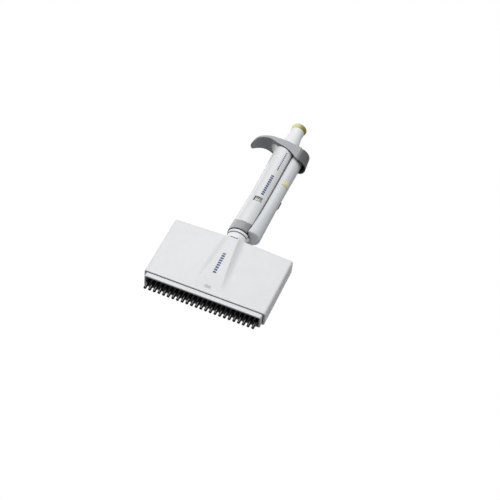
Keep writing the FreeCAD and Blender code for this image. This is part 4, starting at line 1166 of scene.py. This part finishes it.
def make_world():
    """White backdrop for the camera, softer grey light for the object."""
    world = bpy.data.worlds.new("studio")
    bpy.context.scene.world = world
    world.use_nodes = True
    tree = world.node_tree
    tree.nodes.clear()
    rays = tree.nodes.new("ShaderNodeLightPath")
    seen = tree.nodes.new("ShaderNodeBackground")
    seen.inputs["Color"].default_value = (1, 1, 1, 1)
    fill = tree.nodes.new("ShaderNodeBackground")
    fill.inputs["Color"].default_value = FILL_TINT
    where = tree.nodes.new("ShaderNodeTexCoord")
    split = tree.nodes.new("ShaderNodeSeparateXYZ")
    tree.links.new(where.outputs["Generated"], split.inputs["Vector"])
    height = tree.nodes.new("ShaderNodeMapRange")
    height.inputs["From Min"].default_value = FILL_BOTTOM
    height.inputs["From Max"].default_value = FILL_TOP
    height.inputs["To Min"].default_value = FILL_BELOW
    height.inputs["To Max"].default_value = FILL_ABOVE
    tree.links.new(split.outputs["Z"], height.inputs["Value"])
    tree.links.new(height.outputs["Result"], fill.inputs["Strength"])
    choose = tree.nodes.new("ShaderNodeMixShader")
    out = tree.nodes.new("ShaderNodeOutputWorld")
    tree.links.new(rays.outputs["Is Camera Ray"], choose.inputs["Fac"])
    tree.links.new(fill.outputs["Background"], choose.inputs[1])
    tree.links.new(seen.outputs["Background"], choose.inputs[2])
    tree.links.new(choose.outputs["Shader"], out.inputs["Surface"])


def make_floor():
    """Pale floor just under the cones, seen only from above; it casts no light on the object."""
    low = (-FLOOR_HALF, -FLOOR_HALF, FLOOR_TOP - FLOOR_THICKNESS)
    floor = block("floor", low, (FLOOR_HALF, FLOOR_HALF, FLOOR_TOP))
    shape = bmesh.new()
    shape.from_mesh(floor.data)
    lower = [face for face in shape.faces if face.normal.z < 0.5]
    bmesh.ops.delete(shape, geom=lower, context="FACES")
    shape.to_mesh(floor.data)
    shape.free()
    nodes = Nodes("pale_floor")
    speckle = nodes.noise(0.02, 3.0)
    tone = nodes.mix(nodes.ramp(speckle, 0.0, 1.0), (0.80, 0.80, 0.80), (0.83, 0.83, 0.83))
    nodes.join(tone, nodes.shader.inputs["Base Color"])
    nodes.shader.inputs["Roughness"].default_value = 0.6
    nodes.shader.inputs["Emission Color"].default_value = (1, 1, 1, 1)
    nodes.shader.inputs["Emission Strength"].default_value = FLOOR_GLOW
    nodes.material.cycles.emission_sampling = "NONE"
    side = nodes.add("ShaderNodeNewGeometry")
    clear = nodes.add("ShaderNodeBsdfTransparent")
    choose = nodes.add("ShaderNodeMixShader")
    nodes.join(side.outputs["Backfacing"], choose.inputs["Fac"])
    nodes.join(nodes.shader.outputs["BSDF"], choose.inputs[1])
    nodes.join(clear.outputs["BSDF"], choose.inputs[2])
    nodes.join(choose.outputs["Shader"], nodes.tree.nodes["Material Output"].inputs["Surface"])
    floor.data.materials.append(nodes.material)
    floor.visible_diffuse = False
    floor.visible_glossy = False


def make_stage():
    """Camera, lights, world and floor."""
    bpy.context.scene.view_settings.view_transform = "Standard"
    make_camera()
    make_world()
    for softbox in SOFTBOXES:
        area_light(*softbox)
    make_floor()


finish_cad_nodes()
head_covers()
ejector_strip()
tip_cones()
control_button()
button_cap()
grey_parts()
number_rings()
springs()
all_printed_marks()
make_stage()
